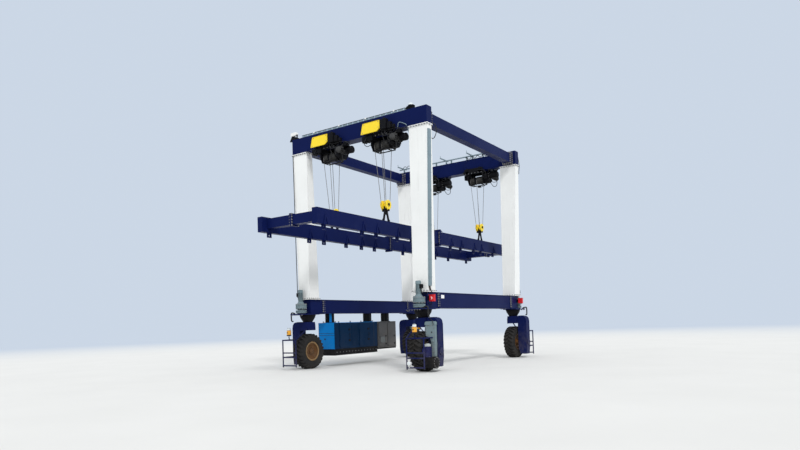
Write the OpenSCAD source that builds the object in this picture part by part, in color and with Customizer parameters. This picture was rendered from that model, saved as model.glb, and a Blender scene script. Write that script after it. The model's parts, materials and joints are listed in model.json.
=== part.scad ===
// Straddle carrier: a four-wheeled mobile gantry with four hoists and a hoisted spreader frame.
// Millimetres. +X runs across the portal, +Y along the direction of travel, +Z up.
// The origin is on the ground, at the middle of the whole machine's footprint.
// Left is -X, right is +X, front is -Y and rear is +Y.

/* [Portal] */
// Clear width between the legs
clear_w = 4770; // [4700:10:6000]
// Distance between the wheel centres along the machine
wheelbase = 7380; // [6800:10:8400]
// How far the portal's middle lies behind the spreader's middle
portal_y = 140; // [0:10:600]
// How far the girders' centre lines lie inside the wheel centres
girder_in = 50; // [20:5:80]
// How far a girder reaches past the legs' tops
girder_over = 10; // [0:5:60]
// Width of a top girder's box
girder_w = 320; // [260:5:400]
// Height of a top girder
girder_h = 600; // [500:10:750]
// Height of the girders' underside above the ground
girder_z = 8410; // [7800:10:9500]
// Width of the girder's lower flange, which the hoist trolleys run on
runway_w = 440; // [420:5:480]
// Thickness of the flange plates
flange_t = 25; // [15:1:35]
// Height of the tie beams
tie_h = 400; // [300:10:450]
// Height of the tie beams' underside above the girders' underside
tie_rise = 70; // [40:5:120]
// Width of the tie beams
tie_w = 300; // [200:5:360]
// Distance from a girder's end to a tie beam's centre line
tie_in = 310; // [230:5:400]
// Thickness of one plate of a bolted joint
joint_plate_t = 30; // [20:1:40]

/* [Legs] */
// Width of a leg's top, across the machine
leg_top_w = 735; // [600:5:800]
// Width of a leg's foot, across the machine
leg_foot_w = 552; // [450:2:650]
// Depth of a leg's top, along the machine
leg_top_d = 295; // [240:5:340]
// Depth of a leg's foot, along the machine
leg_foot_d = 550; // [450:5:650]
// How far a leg's foot is nearer to the portal's middle than its top
leg_foot_in = 70; // [0:5:120]
// Thickness of the bolted plates at a leg's two ends
leg_plate_t = 30; // [20:1:40]
// How far those plates stand out round the leg
leg_plate_rim = 30; // [20:1:40]
// Width of the cable duct on a leg
duct_w = 150; // [80:5:160]
// Depth of the cable duct on a leg
duct_t = 60; // [30:5:80]

/* [Bottom beams] */
// Distance from a leg's inner face to the wheels' and bottom beams' centre lines
wheel_in = 265; // [255:5:300]
// Height of the bottom beams' underside above the ground
beam_z = 2120; // [2110:10:2400]
// Height of a bottom beam
beam_h = 550; // [480:10:650]
// Width of a bottom beam's webs, outside to outside
beam_w = 430; // [360:5:450]
// Width of a bottom beam's flange plates
beam_flange_w = 470; // [460:5:520]
// Distance from a wheel centre back to the bottom beam's bolted joint
joint_in = 690; // [600:10:900]
// How far a bottom beam reaches past the wheel centre
beam_over = 50; // [20:5:75]
// Thickness of the plate under a beam's end that carries the steering gear
steer_plate_t = 40; // [30:1:60]
// How far that plate reaches beyond the beam's end
steer_plate_out = 590; // [560:5:640]
// Width of an emergency stop box, across the machine
stop_box_w = 240; // [150:10:260]
// Height of an emergency stop box
stop_box_h = 220; // [180:10:300]
// Depth of an emergency stop box, along the machine
stop_box_d = 120; // [80:5:150]

/* [Wheels] */
// Radius of a tyre at its lugs' tips
tyre_r = 675; // [640:5:680]
// Width of a tyre
tyre_w = 445; // [400:5:460]
// Depth of the lugs
lug_h = 32; // [15:1:45]
// Lugs round one tyre, on each half of its width
lug_count = 24; // [20:1:28]
// Length of one lug's top, round the tyre
lug_len = 62; // [40:1:70]
// Length of the flank on each side of a lug
lug_flank = 10; // [4:1:14]
// How far a lug's outer end lies round the tyre from its inner end
lug_sweep = 100; // [40:5:120]
// How far the tread's edge lies inside the tyre's side
tread_in = 30; // [20:1:50]
// Facets round the tyre's plain surfaces
tyre_fn = 32; // [24:4:60]
// Radius of the rim's flanges
rim_r = 362; // [350:1:380]
// Radius of the rim's barrel
rim_barrel_r = 318; // [300:1:325]
// Thickness of the rim's barrel
rim_t = 14; // [8:1:20]
// Gap between the tyre's bead and the rim's barrel
bead_gap = 0.3; // [0.2:0.1:1]
// Distance from the wheel's middle plane to the rim's disc
disc_x = 90; // [60:5:110]
// Radius of the hub
hub_r = 135; // [110:1:160]
// Radius of the axle stub
axle_r = 70; // [50:1:90]
// Running gap round the axle stub
axle_gap = 0.5; // [0.3:0.1:0.9]

/* [Bogies] */
// Running gap between the steering ring's two halves
ring_gap = 0.5; // [0.3:0.1:0.9]
// Radius of the steering ring
ring_r = 300; // [260:5:330]
// Height of the steering ring's upper half
ring_t = 50; // [30:1:60]
// Radius of the kingpin's foot on the bogie's arm
kingpin_r = 175; // [150:5:220]
// Height of the bogie arm's underside above the ground
arm_z = 1480; // [1430:5:1500]
// Depth of the bogie's arm, from top to underside
arm_h = 320; // [240:5:330]
// Depth of the bogie's arm, along the machine
arm_d = 420; // [380:5:600]
// Depth of the bogie's cheek, along the machine
cheek_d = 340; // [300:5:420]
// Gap between the tyre and the cheek
cheek_gap = 57; // [50:1:80]
// Thickness of the cheek
cheek_w = 380; // [300:5:400]
// Radius of the cheek's outer top corner
cheek_corner_r = 180; // [80:5:220]
// Height of the cheek's lower end above the ground
cheek_z = 160; // [140:5:250]
// How far the cheek's lower end is cut back on its inner side
toe_cut_w = 90; // [30:5:120]
// How far the arm reaches inwards past the wheel's middle plane
arm_in = 200; // [180:5:300]

/* [Wheel drives] */
// Thickness of the gear case on the cheek's front
case_t = 130; // [100:5:150]
// How far the gear case stands out past the cheek
case_out = 25; // [10:5:60]
// Height of the gear case's underside above the ground
case_z = 480; // [450:5:560]
// Radius of the upright drive motor
drive_motor_r = 125; // [100:5:140]
// Height of the upright drive motor
drive_motor_h = 470; // [400:10:520]
// Height of the bevel gearbox's underside above the ground
bevel_z = 150; // [120:5:200]
// Radius of the round cover on the bevel gearbox
bevel_cover_r = 200; // [150:5:210]
// Gap between bolted pieces of a bogie
seat_gap = 0.3; // [0.2:0.1:0.6]

/* [Wheel guards] */
// Distance from the wheel's axle to the guard's bars
guard_y = 850; // [820:5:900]
// Radius of the guard's tubes
guard_tube_r = 24; // [15:1:28]
// Height of the guard's top bar
guard_top_z = 1130; // [1070:5:1200]
// Height of the guard's bottom bar
guard_low_z = 170; // [120:5:250]
// How far the guard reaches inwards past the wheel's middle plane
guard_in = 150; // [100:5:170]
// How far the guard reaches outwards past the wheel's middle plane
guard_reach = 550; // [480:5:600]
// Radius of the warning beacon
beacon_r = 80; // [50:1:90]
// Height of the warning beacon
beacon_h = 180; // [120:5:200]

/* [Steering drives] */
// Distance from the kingpin to the steering gearbox's axis
steer_gear_off = 295; // [290:5:320]
// How far that axis lies outwards from the beam's centre line
steer_gear_out = 50; // [0:5:80]
// Radius of the steering gearbox's discs
steer_gear_r = 210; // [180:5:230]
// Thickness of one disc
steer_disc_t = 150; // [100:5:160]
// Radius of the steering motor
steer_motor_r = 85; // [70:1:100]
// Height of the steering motor's top above the ground
steer_motor_top = 3050; // [2900:10:3200]

/* [Power pack] */
// How far the power pack's inner face lies inside the wheels' centre line
pack_in = 390; // [350:5:400]
// Width of the power pack
pack_w = 850; // [760:5:900]
// Distance from the front wheel centre to the power pack
pack_back = 1110; // [1100:5:1300]
// Length of the power pack's canopy
pack_len = 2850; // [2700:10:3000]
// Height of the canopy's underside above the ground
pack_z = 690; // [620:5:750]
// Height of the canopy
pack_h = 1060; // [900:10:1150]
// Thickness of the canopy's and the cabinet's sheet walls
sheet_t = 30; // [20:1:40]
// Height of the skid's underside above the ground
skid_z = 430; // [350:5:480]
// Gap between the canopy and the control cabinet
cabinet_gap = 40; // [20:5:80]
// Length of the control cabinet behind the canopy
cabinet_len = 1380; // [1330:10:1450]
// Height of the control cabinet's underside above the ground
cabinet_z = 600; // [560:5:700]
// Thickness of a door's leaf
door_t = 28; // [20:1:40]
// Width of one door of the canopy
door_w = 700; // [600:5:720]
// Distance from the canopy's front end to its first door
door_start = 300; // [150:10:350]
// Distance between the canopy's doors
door_pitch = 1280; // [1000:10:1400]
// Width of one door of the cabinet
cabinet_door_w = 600; // [500:5:600]
// How far a door laps over the edge of its doorway
door_lap = 40; // [20:1:60]
// Running gap behind a closed door, and between the barrels of its hinges
door_gap = 0.5; // [0.3:0.1:0.9]
// Height of one barrel of a door's hinge
hinge_h = 90; // [50:5:120]
// Distance from the canopy's underside or roof to a door's edge
door_margin = 50; // [30:5:80]
// Distance from the cabinet's underside or roof to a door's edge
cabinet_margin = 60; // [30:5:80]
// Width of the engine and its generator
engine_w = 500; // [400:10:600]
// Length of the engine and its generator
engine_len = 1300; // [1000:10:1600]
// Height of the engine and its generator
engine_h = 700; // [500:10:800]

/* [Hoists] */
// Distance from the right legs' inner faces to the middle of the right hoists, as parked
hoist_in = 1255; // [1240:5:1300]
// How far the left hoists stand further out than the right ones, as parked
hoist_shift = 160; // [0:5:165]
// Radius of the hoist's rope drum
drum_r = 165; // [120:5:175]
// Length of the hoist's trolley and rope drum
drum_len = 920; // [860:10:940]
// Depth of the drum's axis below the girder
drum_drop = 400; // [390:5:450]
// Radius of the hoist motor beside the drum
hoist_motor_r = 130; // [100:5:135]
// Length of the hoist motor beside the drum
hoist_motor_len = 380; // [300:10:400]
// Radius of the trolley's wheels
trolley_wheel_r = 70; // [50:5:80]
// Running gap between the trolley's wheels and the runway
trolley_gap = 0.3; // [0.2:0.1:0.6]
// Gap between a runway's edge and the trolley's side plates
trolley_side_gap = 35; // [20:1:50]
// Thickness of the hoist's plates
hoist_plate_t = 30; // [15:1:40]
// Length of the hoist's gearbox
hoist_gear_len = 220; // [150:5:240]
// Length of the hoist's control box, along the girder
hoist_box_len = 700; // [600:10:740]
// Height of the hoist's control box
hoist_box_h = 440; // [300:10:460]
// Depth of the hoist's control box
hoist_box_d = 130; // [100:5:160]
// Radius of the travel motor under the trolley
travel_motor_r = 85; // [60:5:95]
// Width of the yellow cover
cover_w = 830; // [700:5:850]
// Height of the yellow cover
cover_h = 375; // [320:5:440]
// Thickness of the yellow cover
cover_d = 35; // [20:5:60]
// Distance from the ropes' middle to the cover's edge away from the motor
cover_start = 610; // [560:5:640]
// Radius of a hoist rope
rope_r = 8; // [5:0.5:12]
// Gap between a rope and the drum or sheave it runs on
rope_gap = 0.5; // [0.3:0.1:0.9]

/* [Spreader] */
// Length of the spreader's two long beams
spreader_len = 14500; // [13000:100:16000]
// Distance from the machine's centre plane to a long beam's centre line
spreader_x = 1200; // [1100:5:1240]
// Width of a long beam
spreader_w = 200; // [160:5:240]
// Height of a long beam
spreader_h = 500; // [420:10:600]
// Height of the spreader's underside above the ground, as parked
spreader_z = 4765; // [4000:5:5200]
// Distance from a long beam's end to the cross beam's middle
cross_in = 350; // [250:10:600]
// Width of a cross beam
cross_w = 260; // [180:10:300]
// Height of a cross beam
cross_h = 320; // [250:10:340]
// Height of a cross beam's underside above the long beams' underside
cross_rise = 130; // [80:5:150]
// Thickness of a lifting lug
lug_t = 40; // [25:1:60]
// Depth of a lifting lug below the beam
lug_drop = 150; // [120:5:200]
// Radius of a lifting lug's shackle hole
shackle_hole_r = 32; // [20:1:40]
// Thickness of the A-shaped ribs over the lugs
rib_t = 25; // [10:1:30]
// Height of the A-shaped ribs
rib_h = 330; // [250:10:380]
// Radius of a hook block's sheaves
sheave_r = 140; // [110:5:160]
// Height of the sheaves' axle above the long beams
block_rise = 600; // [500:10:700]

/* [Hidden] */
$fn = 48;
LEFT = -1;
RIGHT = 1;
FRONT = -1;
REAR = 1;
SIDES = [LEFT, RIGHT];
ENDS = [FRONT, REAR];

leg_inner_x = clear_w / 2;
girder_len = 2 * (leg_inner_x + leg_top_w + girder_over);
tie_x = girder_len / 2 - tie_in;
wheel_x = leg_inner_x + wheel_in;
wheel_y = wheelbase / 2;
girder_y = wheel_y - girder_in;
girder_top = girder_z + girder_h;
beam_top = beam_z + beam_h;
beam_joint_y = wheel_y - joint_in;
beam_end_y = wheel_y + beam_over;
leg_z0 = beam_top;
leg_z1 = girder_z;
leg_foot_y = girder_y - leg_foot_in;
steer_plate_z = beam_z - steer_plate_t;
ring_z = steer_plate_z - ring_t;
arm_top = arm_z + arm_h;
cheek_x = tyre_w / 2 + cheek_gap;
arm_out = cheek_x + cheek_w;
cheek_front = cheek_d / 2;
guard_out = guard_reach - guard_tube_r;
axle_z = tyre_r;
carcass_r = tyre_r - lug_h;
spreader_top = spreader_z + spreader_h;
drum_z = girder_z - drum_drop;
hoist_x = leg_inner_x - hoist_in;
hoist_side_y = runway_w / 2 + trolley_side_gap;
cover_out = cover_w - cover_start;
pack_x = wheel_x - pack_in;
pack_top = pack_z + pack_h;
pack_y0 = portal_y - wheel_y + pack_back;
pack_y1 = pack_y0 + pack_len;
hinge_r = door_t / 2;
hinge_x = -pack_x + door_gap + hinge_r;
cabinet_y0 = pack_y1 + cabinet_gap;
cabinet_y1 = cabinet_y0 + cabinet_len;
block_z = spreader_top + block_rise;
sheave_x = 80;
sheave_w = 70;

// Ends of the festoon rail, from the left and the right legs' inner faces, and its height over the girder
rail_start = 1445;
rail_over = 75;
rail_x = [rail_start - leg_inner_x, rail_over + leg_inner_x];
rail_z = 110;

// Rope falls of one hoist: place across the machine at the drum, at the sheaves, and the side they hang on
FALLS = [[-220, -sheave_x, FRONT], [-80, -sheave_x, REAR], [90, sheave_x, FRONT], [290, sheave_x, REAR]];

// Places of the lifting lugs along a long beam, as shares of half its length
LUGS = [-0.945, -0.679, -0.570, -0.394, -0.262, -0.143, 0.143, 0.262, 0.426, 0.520, 0.690, 0.945];

module navy() { color([0.08, 0.10, 0.36]) children(); }
module white() { color([0.93, 0.94, 0.94]) children(); }
module yellow() { color([0.98, 0.86, 0.16]) children(); }
module black() { color([0.05, 0.05, 0.05]) children(); }
module gear_grey() { color([0.45, 0.52, 0.52]) children(); }
module rubber() { color([0.10, 0.10, 0.10]) children(); }
module pack_blue() { color([0.05, 0.30, 0.62]) children(); }
module cabinet_grey() { color([0.36, 0.36, 0.37]) children(); }

// A box between two opposite corners
module block(a, b) {
    translate([min(a.x, b.x), min(a.y, b.y), min(a.z, b.z)])
        cube([abs(b.x - a.x), abs(b.y - a.y), abs(b.z - a.z)]);
}

// A round bar from one point to another
module bar(a, b, r) {
    d = b - a;
    translate(a)
        rotate([0, acos(d.z / norm(d)), atan2(d.y, d.x)])
            cylinder(r = r, h = norm(d));
}

// Places what is drawn for the right rear corner at one corner of the portal
module at_corner(side, end) {
    translate([0, portal_y, 0])
        mirror([side < 0 ? 1 : 0, 0, 0]) mirror([0, end < 0 ? 1 : 0, 0]) children();
}

// The same, from the kingpin's axis on the ground
module at_wheel(side, end) {
    at_corner(side, end) translate([wheel_x, wheel_y, 0]) children();
}

// Two of the bogies, diagonally opposite, have a wheel drive
function is_driven(side, end) = side * end < 0;

// Place of a leg's sloping outer face at a height
function leg_outer_x(z) = leg_inner_x + leg_foot_w
    + (leg_top_w - leg_foot_w) * (z - leg_z0) / (leg_z1 - leg_z0 - leg_plate_t);

module leg(side, end) {
    rim = leg_plate_rim;
    foot_y = leg_foot_y - leg_foot_d / 2;
    top_y = girder_y - leg_top_d / 2;
    white() at_corner(side, end) {
        hull() {
            translate([leg_inner_x, foot_y, leg_z0]) cube([leg_foot_w, leg_foot_d, leg_plate_t]);
            translate([leg_inner_x, top_y, leg_z1 - leg_plate_t]) cube([leg_top_w, leg_top_d, leg_plate_t]);
        }
        translate([leg_inner_x - rim, foot_y - rim, leg_z0])
            cube([leg_foot_w + 2 * rim, leg_foot_d + 2 * rim, leg_plate_t]);
        translate([leg_inner_x - rim, top_y - rim, leg_z1 - leg_plate_t])
            cube([leg_top_w + 2 * rim, leg_top_d + 2 * rim, leg_plate_t]);
    }
}

module girder(end) {
    navy() translate([0, portal_y + end * girder_y, girder_z]) {
        translate([-girder_len / 2, -girder_w / 2, 0]) cube([girder_len, girder_w, girder_h]);
        translate([-leg_inner_x, -runway_w / 2, 0]) cube([2 * leg_inner_x, runway_w, flange_t]);
    }
}

module tie_beam(side) {
    half = girder_y - girder_w / 2;
    z0 = girder_z + tie_rise;
    lap = 40;
    splice = 200;
    navy() translate([side * tie_x, portal_y, 0]) {
        block([-tie_w / 2, -half, z0], [tie_w / 2, half, z0 + tie_h]);
        for (end = ENDS, back = [0, splice])
            block([-tie_w / 2 - lap, end * (half - back), z0 - lap],
                  [tie_w / 2 + lap, end * (half - back - joint_plate_t), z0 + tie_h + lap]);
    }
}

module bottom_beam(side) {
    flange_x = beam_flange_w / 2;
    lap = 20;
    plate_in = 400;
    navy() translate([side * wheel_x, portal_y, 0]) {
        block([-beam_w / 2, -beam_end_y, beam_z], [beam_w / 2, beam_end_y, beam_top]);
        for (z = [beam_z, beam_top - flange_t])
            block([-flange_x, -beam_end_y, z], [flange_x, beam_end_y, z + flange_t]);
        for (end = ENDS) {
            block([-flange_x - lap, end * (beam_joint_y - joint_plate_t), beam_z - lap],
                  [flange_x + lap, end * (beam_joint_y + joint_plate_t), beam_top]);
            block([-ring_r, end * (beam_end_y - plate_in), steer_plate_z],
                  [ring_r, end * (beam_end_y + steer_plate_out), beam_z]);
            translate([0, end * wheel_y, ring_z]) cylinder(r = ring_r, h = ring_t);
        }
    }
}

// Upright gearmotors that turn the bogies through their toothed rings
module steering_drives() {
    neck = 50;
    step = 30;
    gear_top = 2 * (steer_disc_t + step);
    bell_h = 110;
    cap_h = 120;
    cap_out = 10;
    box = [90, 100, 130];
    gear_grey() for (side = SIDES, end = ENDS) at_wheel(side, end)
        translate([steer_gear_out, steer_gear_off, beam_z]) {
            cylinder(r = steer_gear_r - neck, h = gear_top);
            for (i = [0, 1])
                translate([0, 0, step + i * (steer_disc_t + step)]) cylinder(r = steer_gear_r, h = steer_disc_t);
            translate([0, neck / 2, gear_top]) {
                motor_h = steer_motor_top - beam_z - gear_top;
                cylinder(r1 = steer_gear_r - neck, r2 = steer_motor_r, h = bell_h);
                cylinder(r = steer_motor_r, h = motor_h);
                translate([0, 0, motor_h - cap_h]) cylinder(r = steer_motor_r + cap_out, h = cap_h - cap_out);
                block([0, -box.y / 2, motor_h - 2 * box.z], [steer_motor_r + box.x, box.y / 2, motor_h - box.z]);
            }
        }
}

// Red emergency stop boxes on the outer faces of the beams' ends
module stop_boxes() {
    z0 = beam_top - 110 - stop_box_h;
    face = wheel_x + beam_w / 2;
    arm = 75;
    arm_in = 40;
    hood = 15;
    button_r = 35;
    button_h = 40;
    color([0.80, 0.10, 0.10]) for (side = SIDES, end = ENDS) at_corner(side, end) {
        block([face, beam_end_y - stop_box_d + arm_in, z0 + arm_in],
              [face + arm, beam_end_y - arm_in, z0 + stop_box_h - arm_in]);
        block([face + arm, beam_end_y - stop_box_d, z0], [face + arm + stop_box_w, beam_end_y, z0 + stop_box_h]);
        block([face + arm - hood, beam_end_y - stop_box_d, z0 + stop_box_h],
              [face + arm + stop_box_w + hood, beam_end_y + hood, z0 + stop_box_h + hood]);
        translate([face + arm + stop_box_w / 2, beam_end_y, z0 + stop_box_h / 2])
            rotate([-90, 0, 0]) cylinder(r = button_r, h = button_h);
    }
}

module cable_ducts() {
    edge = 20;
    z0 = leg_z0 + 200;
    z1 = leg_z1 - 220;
    duct_gap = 0.5;
    tray_w = 120;
    tray_h = 60;
    tray_in = [530, 880];
    tray_x = [-girder_len / 2 + tray_in[0], girder_len / 2 - tray_in[1]];
    rail_w = 40;
    rail_h = 50;
    bracket_w = 40;
    bracket_d = 80;
    bracket_y = -20;
    end_gap = 50;
    bracket_pitch = (rail_x[1] - rail_x[0] - 2 * end_gap - bracket_w) / 4;
    girder_side = girder_y - girder_w / 2;
    color([0.42, 0.48, 0.55]) {
        at_corner(RIGHT, FRONT) translate([0, girder_y + leg_top_d / 2 - edge, 0])
            rotate([90, 0, 0]) linear_extrude(height = duct_w)
                polygon([[leg_outer_x(z0) + duct_gap, z0], [leg_outer_x(z0) + duct_t, z0],
                         [leg_outer_x(z1) + duct_t, z1], [leg_outer_x(z1) + duct_gap, z1]]);
        translate([tray_x[0], portal_y - girder_y - girder_w / 2, girder_top])
            cube([tray_x[1] - tray_x[0], tray_w, tray_h]);
        // Festoon rail on brackets over the rear girder
        translate([0, portal_y + girder_side, girder_top]) {
            block([rail_x[0], bracket_y - rail_w, rail_z], [rail_x[1], bracket_y, rail_z + rail_h]);
            for (i = [0:4])
                translate([rail_x[0] + end_gap + i * bracket_pitch, bracket_y, 0])
                    cube([bracket_w, bracket_d, rail_z + rail_h]);
        }
    }
}

// Cable loops that hang from the festoon rail
module festoon_cable() {
    pitch = 230;
    cable_r = 14;
    loop_r = 95;
    rail_side = 40;
    span = 1560;
    black() for (i = [0:5])
        translate([rail_x[1] - span + i * pitch, portal_y + girder_y - girder_w / 2 - rail_side,
                   girder_top + rail_z])
            rotate([90, 0, 0]) rotate([0, 0, 180]) rotate_extrude(angle = 180, $fn = 12)
                translate([loop_r, 0]) circle(r = cable_r);
}

module work_lamps() {
    lamp_r = 90;
    lamp_h = 130;
    lamp_in = 730;
    arm_lamp_in = 120;
    arm_r = 25;
    arm_h = 260;
    head = [320, 140, 130];
    head_z = 200;
    head_in = 20;
    white() translate([0, portal_y - girder_y, girder_top]) {
        translate([girder_len / 2 - lamp_in, 0, 0]) {
            cylinder(r = lamp_r, h = lamp_h);
            translate([0, 0, lamp_h]) sphere(r = lamp_r);
        }
        translate([-girder_len / 2 + arm_lamp_in, 0, 0]) {
            cylinder(r = arm_r, h = arm_h);
            translate([head_in - head.x, -head.y / 2, head_z]) cube(head);
        }
    }
}

module pack_skid() {
    x0 = -pack_x - pack_w;
    inset = 20;
    hanger_w = 120;
    hanger_d = 160;
    hanger_x = 110;
    tray_t = 60;
    first_in = 100;
    second_in = 260;
    third_in = 360;
    black() {
        block([x0 + inset, pack_y0 + inset, skid_z], [-pack_x - inset, pack_y1, pack_z]);
        block([x0 + inset, cabinet_y0, cabinet_z - tray_t], [-pack_x - inset, cabinet_y1, cabinet_z]);
        for (y = [pack_y0 + first_in, pack_y1 - second_in, cabinet_y1 - third_in], s = [-1, 1])
            translate([-wheel_x + s * hanger_x - hanger_w / 2, y, pack_top])
                cube([hanger_w, hanger_d, beam_z - pack_top]);
    }
}

module pack_engine() {
    color([0.30, 0.30, 0.30])
        translate([-pack_x - (pack_w + engine_w) / 2, pack_y0 + (pack_len - engine_len) / 2, pack_z])
            cube([engine_w, engine_len, engine_h]);
}

// Lower corner of a door: its front edge along the machine, and its height range
function pack_door_y(i) = pack_y0 + door_start + i * door_pitch;
function cabinet_door_y(i) = cabinet_y0 + cabinet_margin + i * (cabinet_door_w + cabinet_margin);

// Heights of a door's two hinges, from the housing's underside and the door's margin
function hinge_heights(z0, leaf_z) =
    let (in = leaf_z + door_lap + 1.5 * hinge_h)
    [z0 + in, pack_top - in];

// A hollow sheet housing with two doorways in its inner face, and the fixed barrels of the doors' hinges
module housing(y0, y1, z0, floor_t, doors, leaf_w, leaf_z) {
    x0 = -pack_x - pack_w;
    t = sheet_t;
    difference() {
        block([x0, y0, z0], [-pack_x, y1, pack_top]);
        block([x0 + t, y0 + t, z0 + floor_t], [-pack_x - t, y1 - t, pack_top - t]);
        for (y = doors)
            block([-pack_x - 2 * t, y + door_lap, z0 + leaf_z + door_lap],
                  [-pack_x + t, y + leaf_w - door_lap, pack_top - leaf_z - door_lap]);
    }
    for (y = doors, z = hinge_heights(z0, leaf_z), s = [-1, 1])
        translate([0, 0, z + s * (hinge_h + door_gap) - hinge_h / 2]) {
            translate([hinge_x, y, 0]) cylinder(r = hinge_r, h = hinge_h);
            block([-pack_x, y - hinge_r, 0], [hinge_x, y, hinge_h]);
        }
}

// A door's leaf and the turning barrels of its hinges; y is the hinges' axis
module door(y, leaf_w, z0, leaf_z) {
    edge = y + hinge_r + 1;
    face = -pack_x + door_gap;
    block([face, edge, z0 + leaf_z], [face + door_t, y + leaf_w, pack_top - leaf_z]);
    for (z = hinge_heights(z0, leaf_z)) translate([0, 0, z - hinge_h / 2]) {
        translate([hinge_x, y, 0]) cylinder(r = hinge_r, h = hinge_h);
        block([face, y, 0], [face + door_t, edge + hinge_r, hinge_h]);
    }
}

module pack_canopy() {
    pack_blue() housing(pack_y0, pack_y1, pack_z, -1, [pack_door_y(0), pack_door_y(1)], door_w, door_margin);
}

module pack_door(i) {
    pack_blue() door(pack_door_y(i), door_w, pack_z, door_margin);
}

module cabinet() {
    cabinet_grey() housing(cabinet_y0, cabinet_y1, cabinet_z, sheet_t,
                           [cabinet_door_y(0), cabinet_door_y(1)], cabinet_door_w, cabinet_margin);
}

module cabinet_door(i) {
    cabinet_grey() door(cabinet_door_y(i), cabinet_door_w, cabinet_z, cabinet_margin);
}

// Bogie: kingpin, arm over the wheel, cheek outboard of it and the axle stub
module fork(side, end) {
    stub_x = 60;
    stub_in = 10;
    ring_rim = 10;
    flange_h = 30;
    boss_r = 130;
    boss_h = 25;
    sole = 110;
    step_in = 45;
    knee = 260;
    knee_h = 140;
    navy() at_wheel(side, end) {
        translate([0, 0, arm_top])
            cylinder(r1 = kingpin_r, r2 = ring_r - ring_rim, h = ring_z - ring_gap - flange_h - arm_top);
        translate([0, 0, ring_z - ring_gap - flange_h]) cylinder(r = ring_r - ring_rim, h = flange_h);
        // The arm, with its inner end sloping down from the kingpin, and no deeper than the cheek where it joins it
        translate([0, arm_d / 2, 0]) rotate([90, 0, 0]) linear_extrude(height = arm_d)
            polygon([[-arm_in, arm_z], [cheek_x - step_in, arm_z], [cheek_x - step_in, arm_top],
                     [-kingpin_r, arm_top], [-arm_in, arm_top - knee_h]]);
        block([cheek_x - step_in, -cheek_front, arm_z], [cheek_x + sole, cheek_front, arm_top]);
        translate([0, cheek_front, 0]) rotate([90, 0, 0]) linear_extrude(height = cheek_d)
            polygon(cheek_outline(knee));
        translate([stub_x, 0, axle_z]) rotate([0, 90, 0]) cylinder(r = axle_r, h = cheek_x - stub_x + stub_in);
        translate([arm_out, 0, axle_z]) rotate([0, 90, 0]) cylinder(r = boss_r, h = boss_h);
    }
}

// A cheek seen along the machine: round outer top corner, and a toe that narrows below the axle
function cheek_outline(knee) = concat(
    [[cheek_x, axle_z - knee], [cheek_x, arm_top]],
    [for (a = [90:-15:0]) [arm_out - cheek_corner_r, arm_top - cheek_corner_r] + cheek_corner_r * [cos(a), sin(a)]],
    [[arm_out, axle_z - knee], [arm_out - toe_cut_w / 3, cheek_z], [cheek_x + toe_cut_w, cheek_z]]
);

// Angle that a length takes up on the tyre's outer circle
function round_tyre(length) = length / tyre_r * 180 / PI;

// Outline of the tread, with a lug's first corner on the x axis
function tread_outline() = [
    for (i = [0:lug_count - 1], step = [[-lug_flank, carcass_r], [0, tyre_r], [lug_len, tyre_r],
                                        [lug_len + lug_flank, carcass_r]])
        let (a = i * 360 / lug_count + round_tyre(step[0])) step[1] * [cos(a), sin(a)]
];

// Half of the chevron tread, swept from the tyre's middle to its shoulder
module tread_half() {
    linear_extrude(height = tyre_w / 2 - tread_in, twist = -round_tyre(lug_sweep), slices = 1)
        polygon(tread_outline());
}

module tyre(side, end) {
    half = tyre_w / 2;
    bore_r = (rim_barrel_r + bead_gap) / cos(180 / tyre_fn);
    bead_in = 46;
    bead_r = rim_r + 60;
    shoulder_in = 8;
    wall_r = carcass_r - 90;
    rubber() at_wheel(side, end) translate([0, 0, axle_z]) rotate([0, 90, 0]) difference() {
        union() {
            tread_half();
            rotate([0, 0, 180 / lug_count]) mirror([0, 0, 1]) tread_half();
            for (s = [0, 1]) mirror([0, 0, s]) translate([0, 0, half - tread_in]) hull() {
                translate([0, 0, -1]) cylinder(r = carcass_r - shoulder_in, h = 1, $fn = tyre_fn);
                cylinder(r = wall_r, h = tread_in, $fn = tyre_fn);
            }
        }
        for (s = [0, 1]) mirror([0, 0, s]) {
            hull() translate([0, 0, -1]) cylinder(r = bore_r, h = half + 2, $fn = tyre_fn);
            hull() translate([0, 0, half - bead_in])
                cylinder(r1 = bore_r, r2 = bead_r, h = bead_in + 1, $fn = tyre_fn);
        }
    }
}

module rim(side, end) {
    half = tyre_w / 2;
    disc_t = 24;
    hub_x = 30;
    bore_x = 55;
    hub_gap = 4;
    yellow() at_wheel(side, end) translate([0, 0, axle_z]) rotate([0, 90, 0]) {
        rotate_extrude()
            polygon([[rim_barrel_r - rim_t, -half + 38], [rim_r, -half + 6], [rim_r, -half + 18],
                     [rim_barrel_r, -half + 42], [rim_barrel_r, half - 42], [rim_r, half - 18],
                     [rim_r, half - 6], [rim_barrel_r - rim_t, half - 38]]);
        difference() {
            union() {
                translate([0, 0, disc_x]) cylinder(r = rim_barrel_r - rim_t / 2, h = disc_t);
                translate([0, 0, hub_x]) cylinder(r = hub_r, h = cheek_x - hub_x - hub_gap);
            }
            translate([0, 0, bore_x]) cylinder(r = axle_r + axle_gap, h = cheek_x);
        }
    }
}

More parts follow.
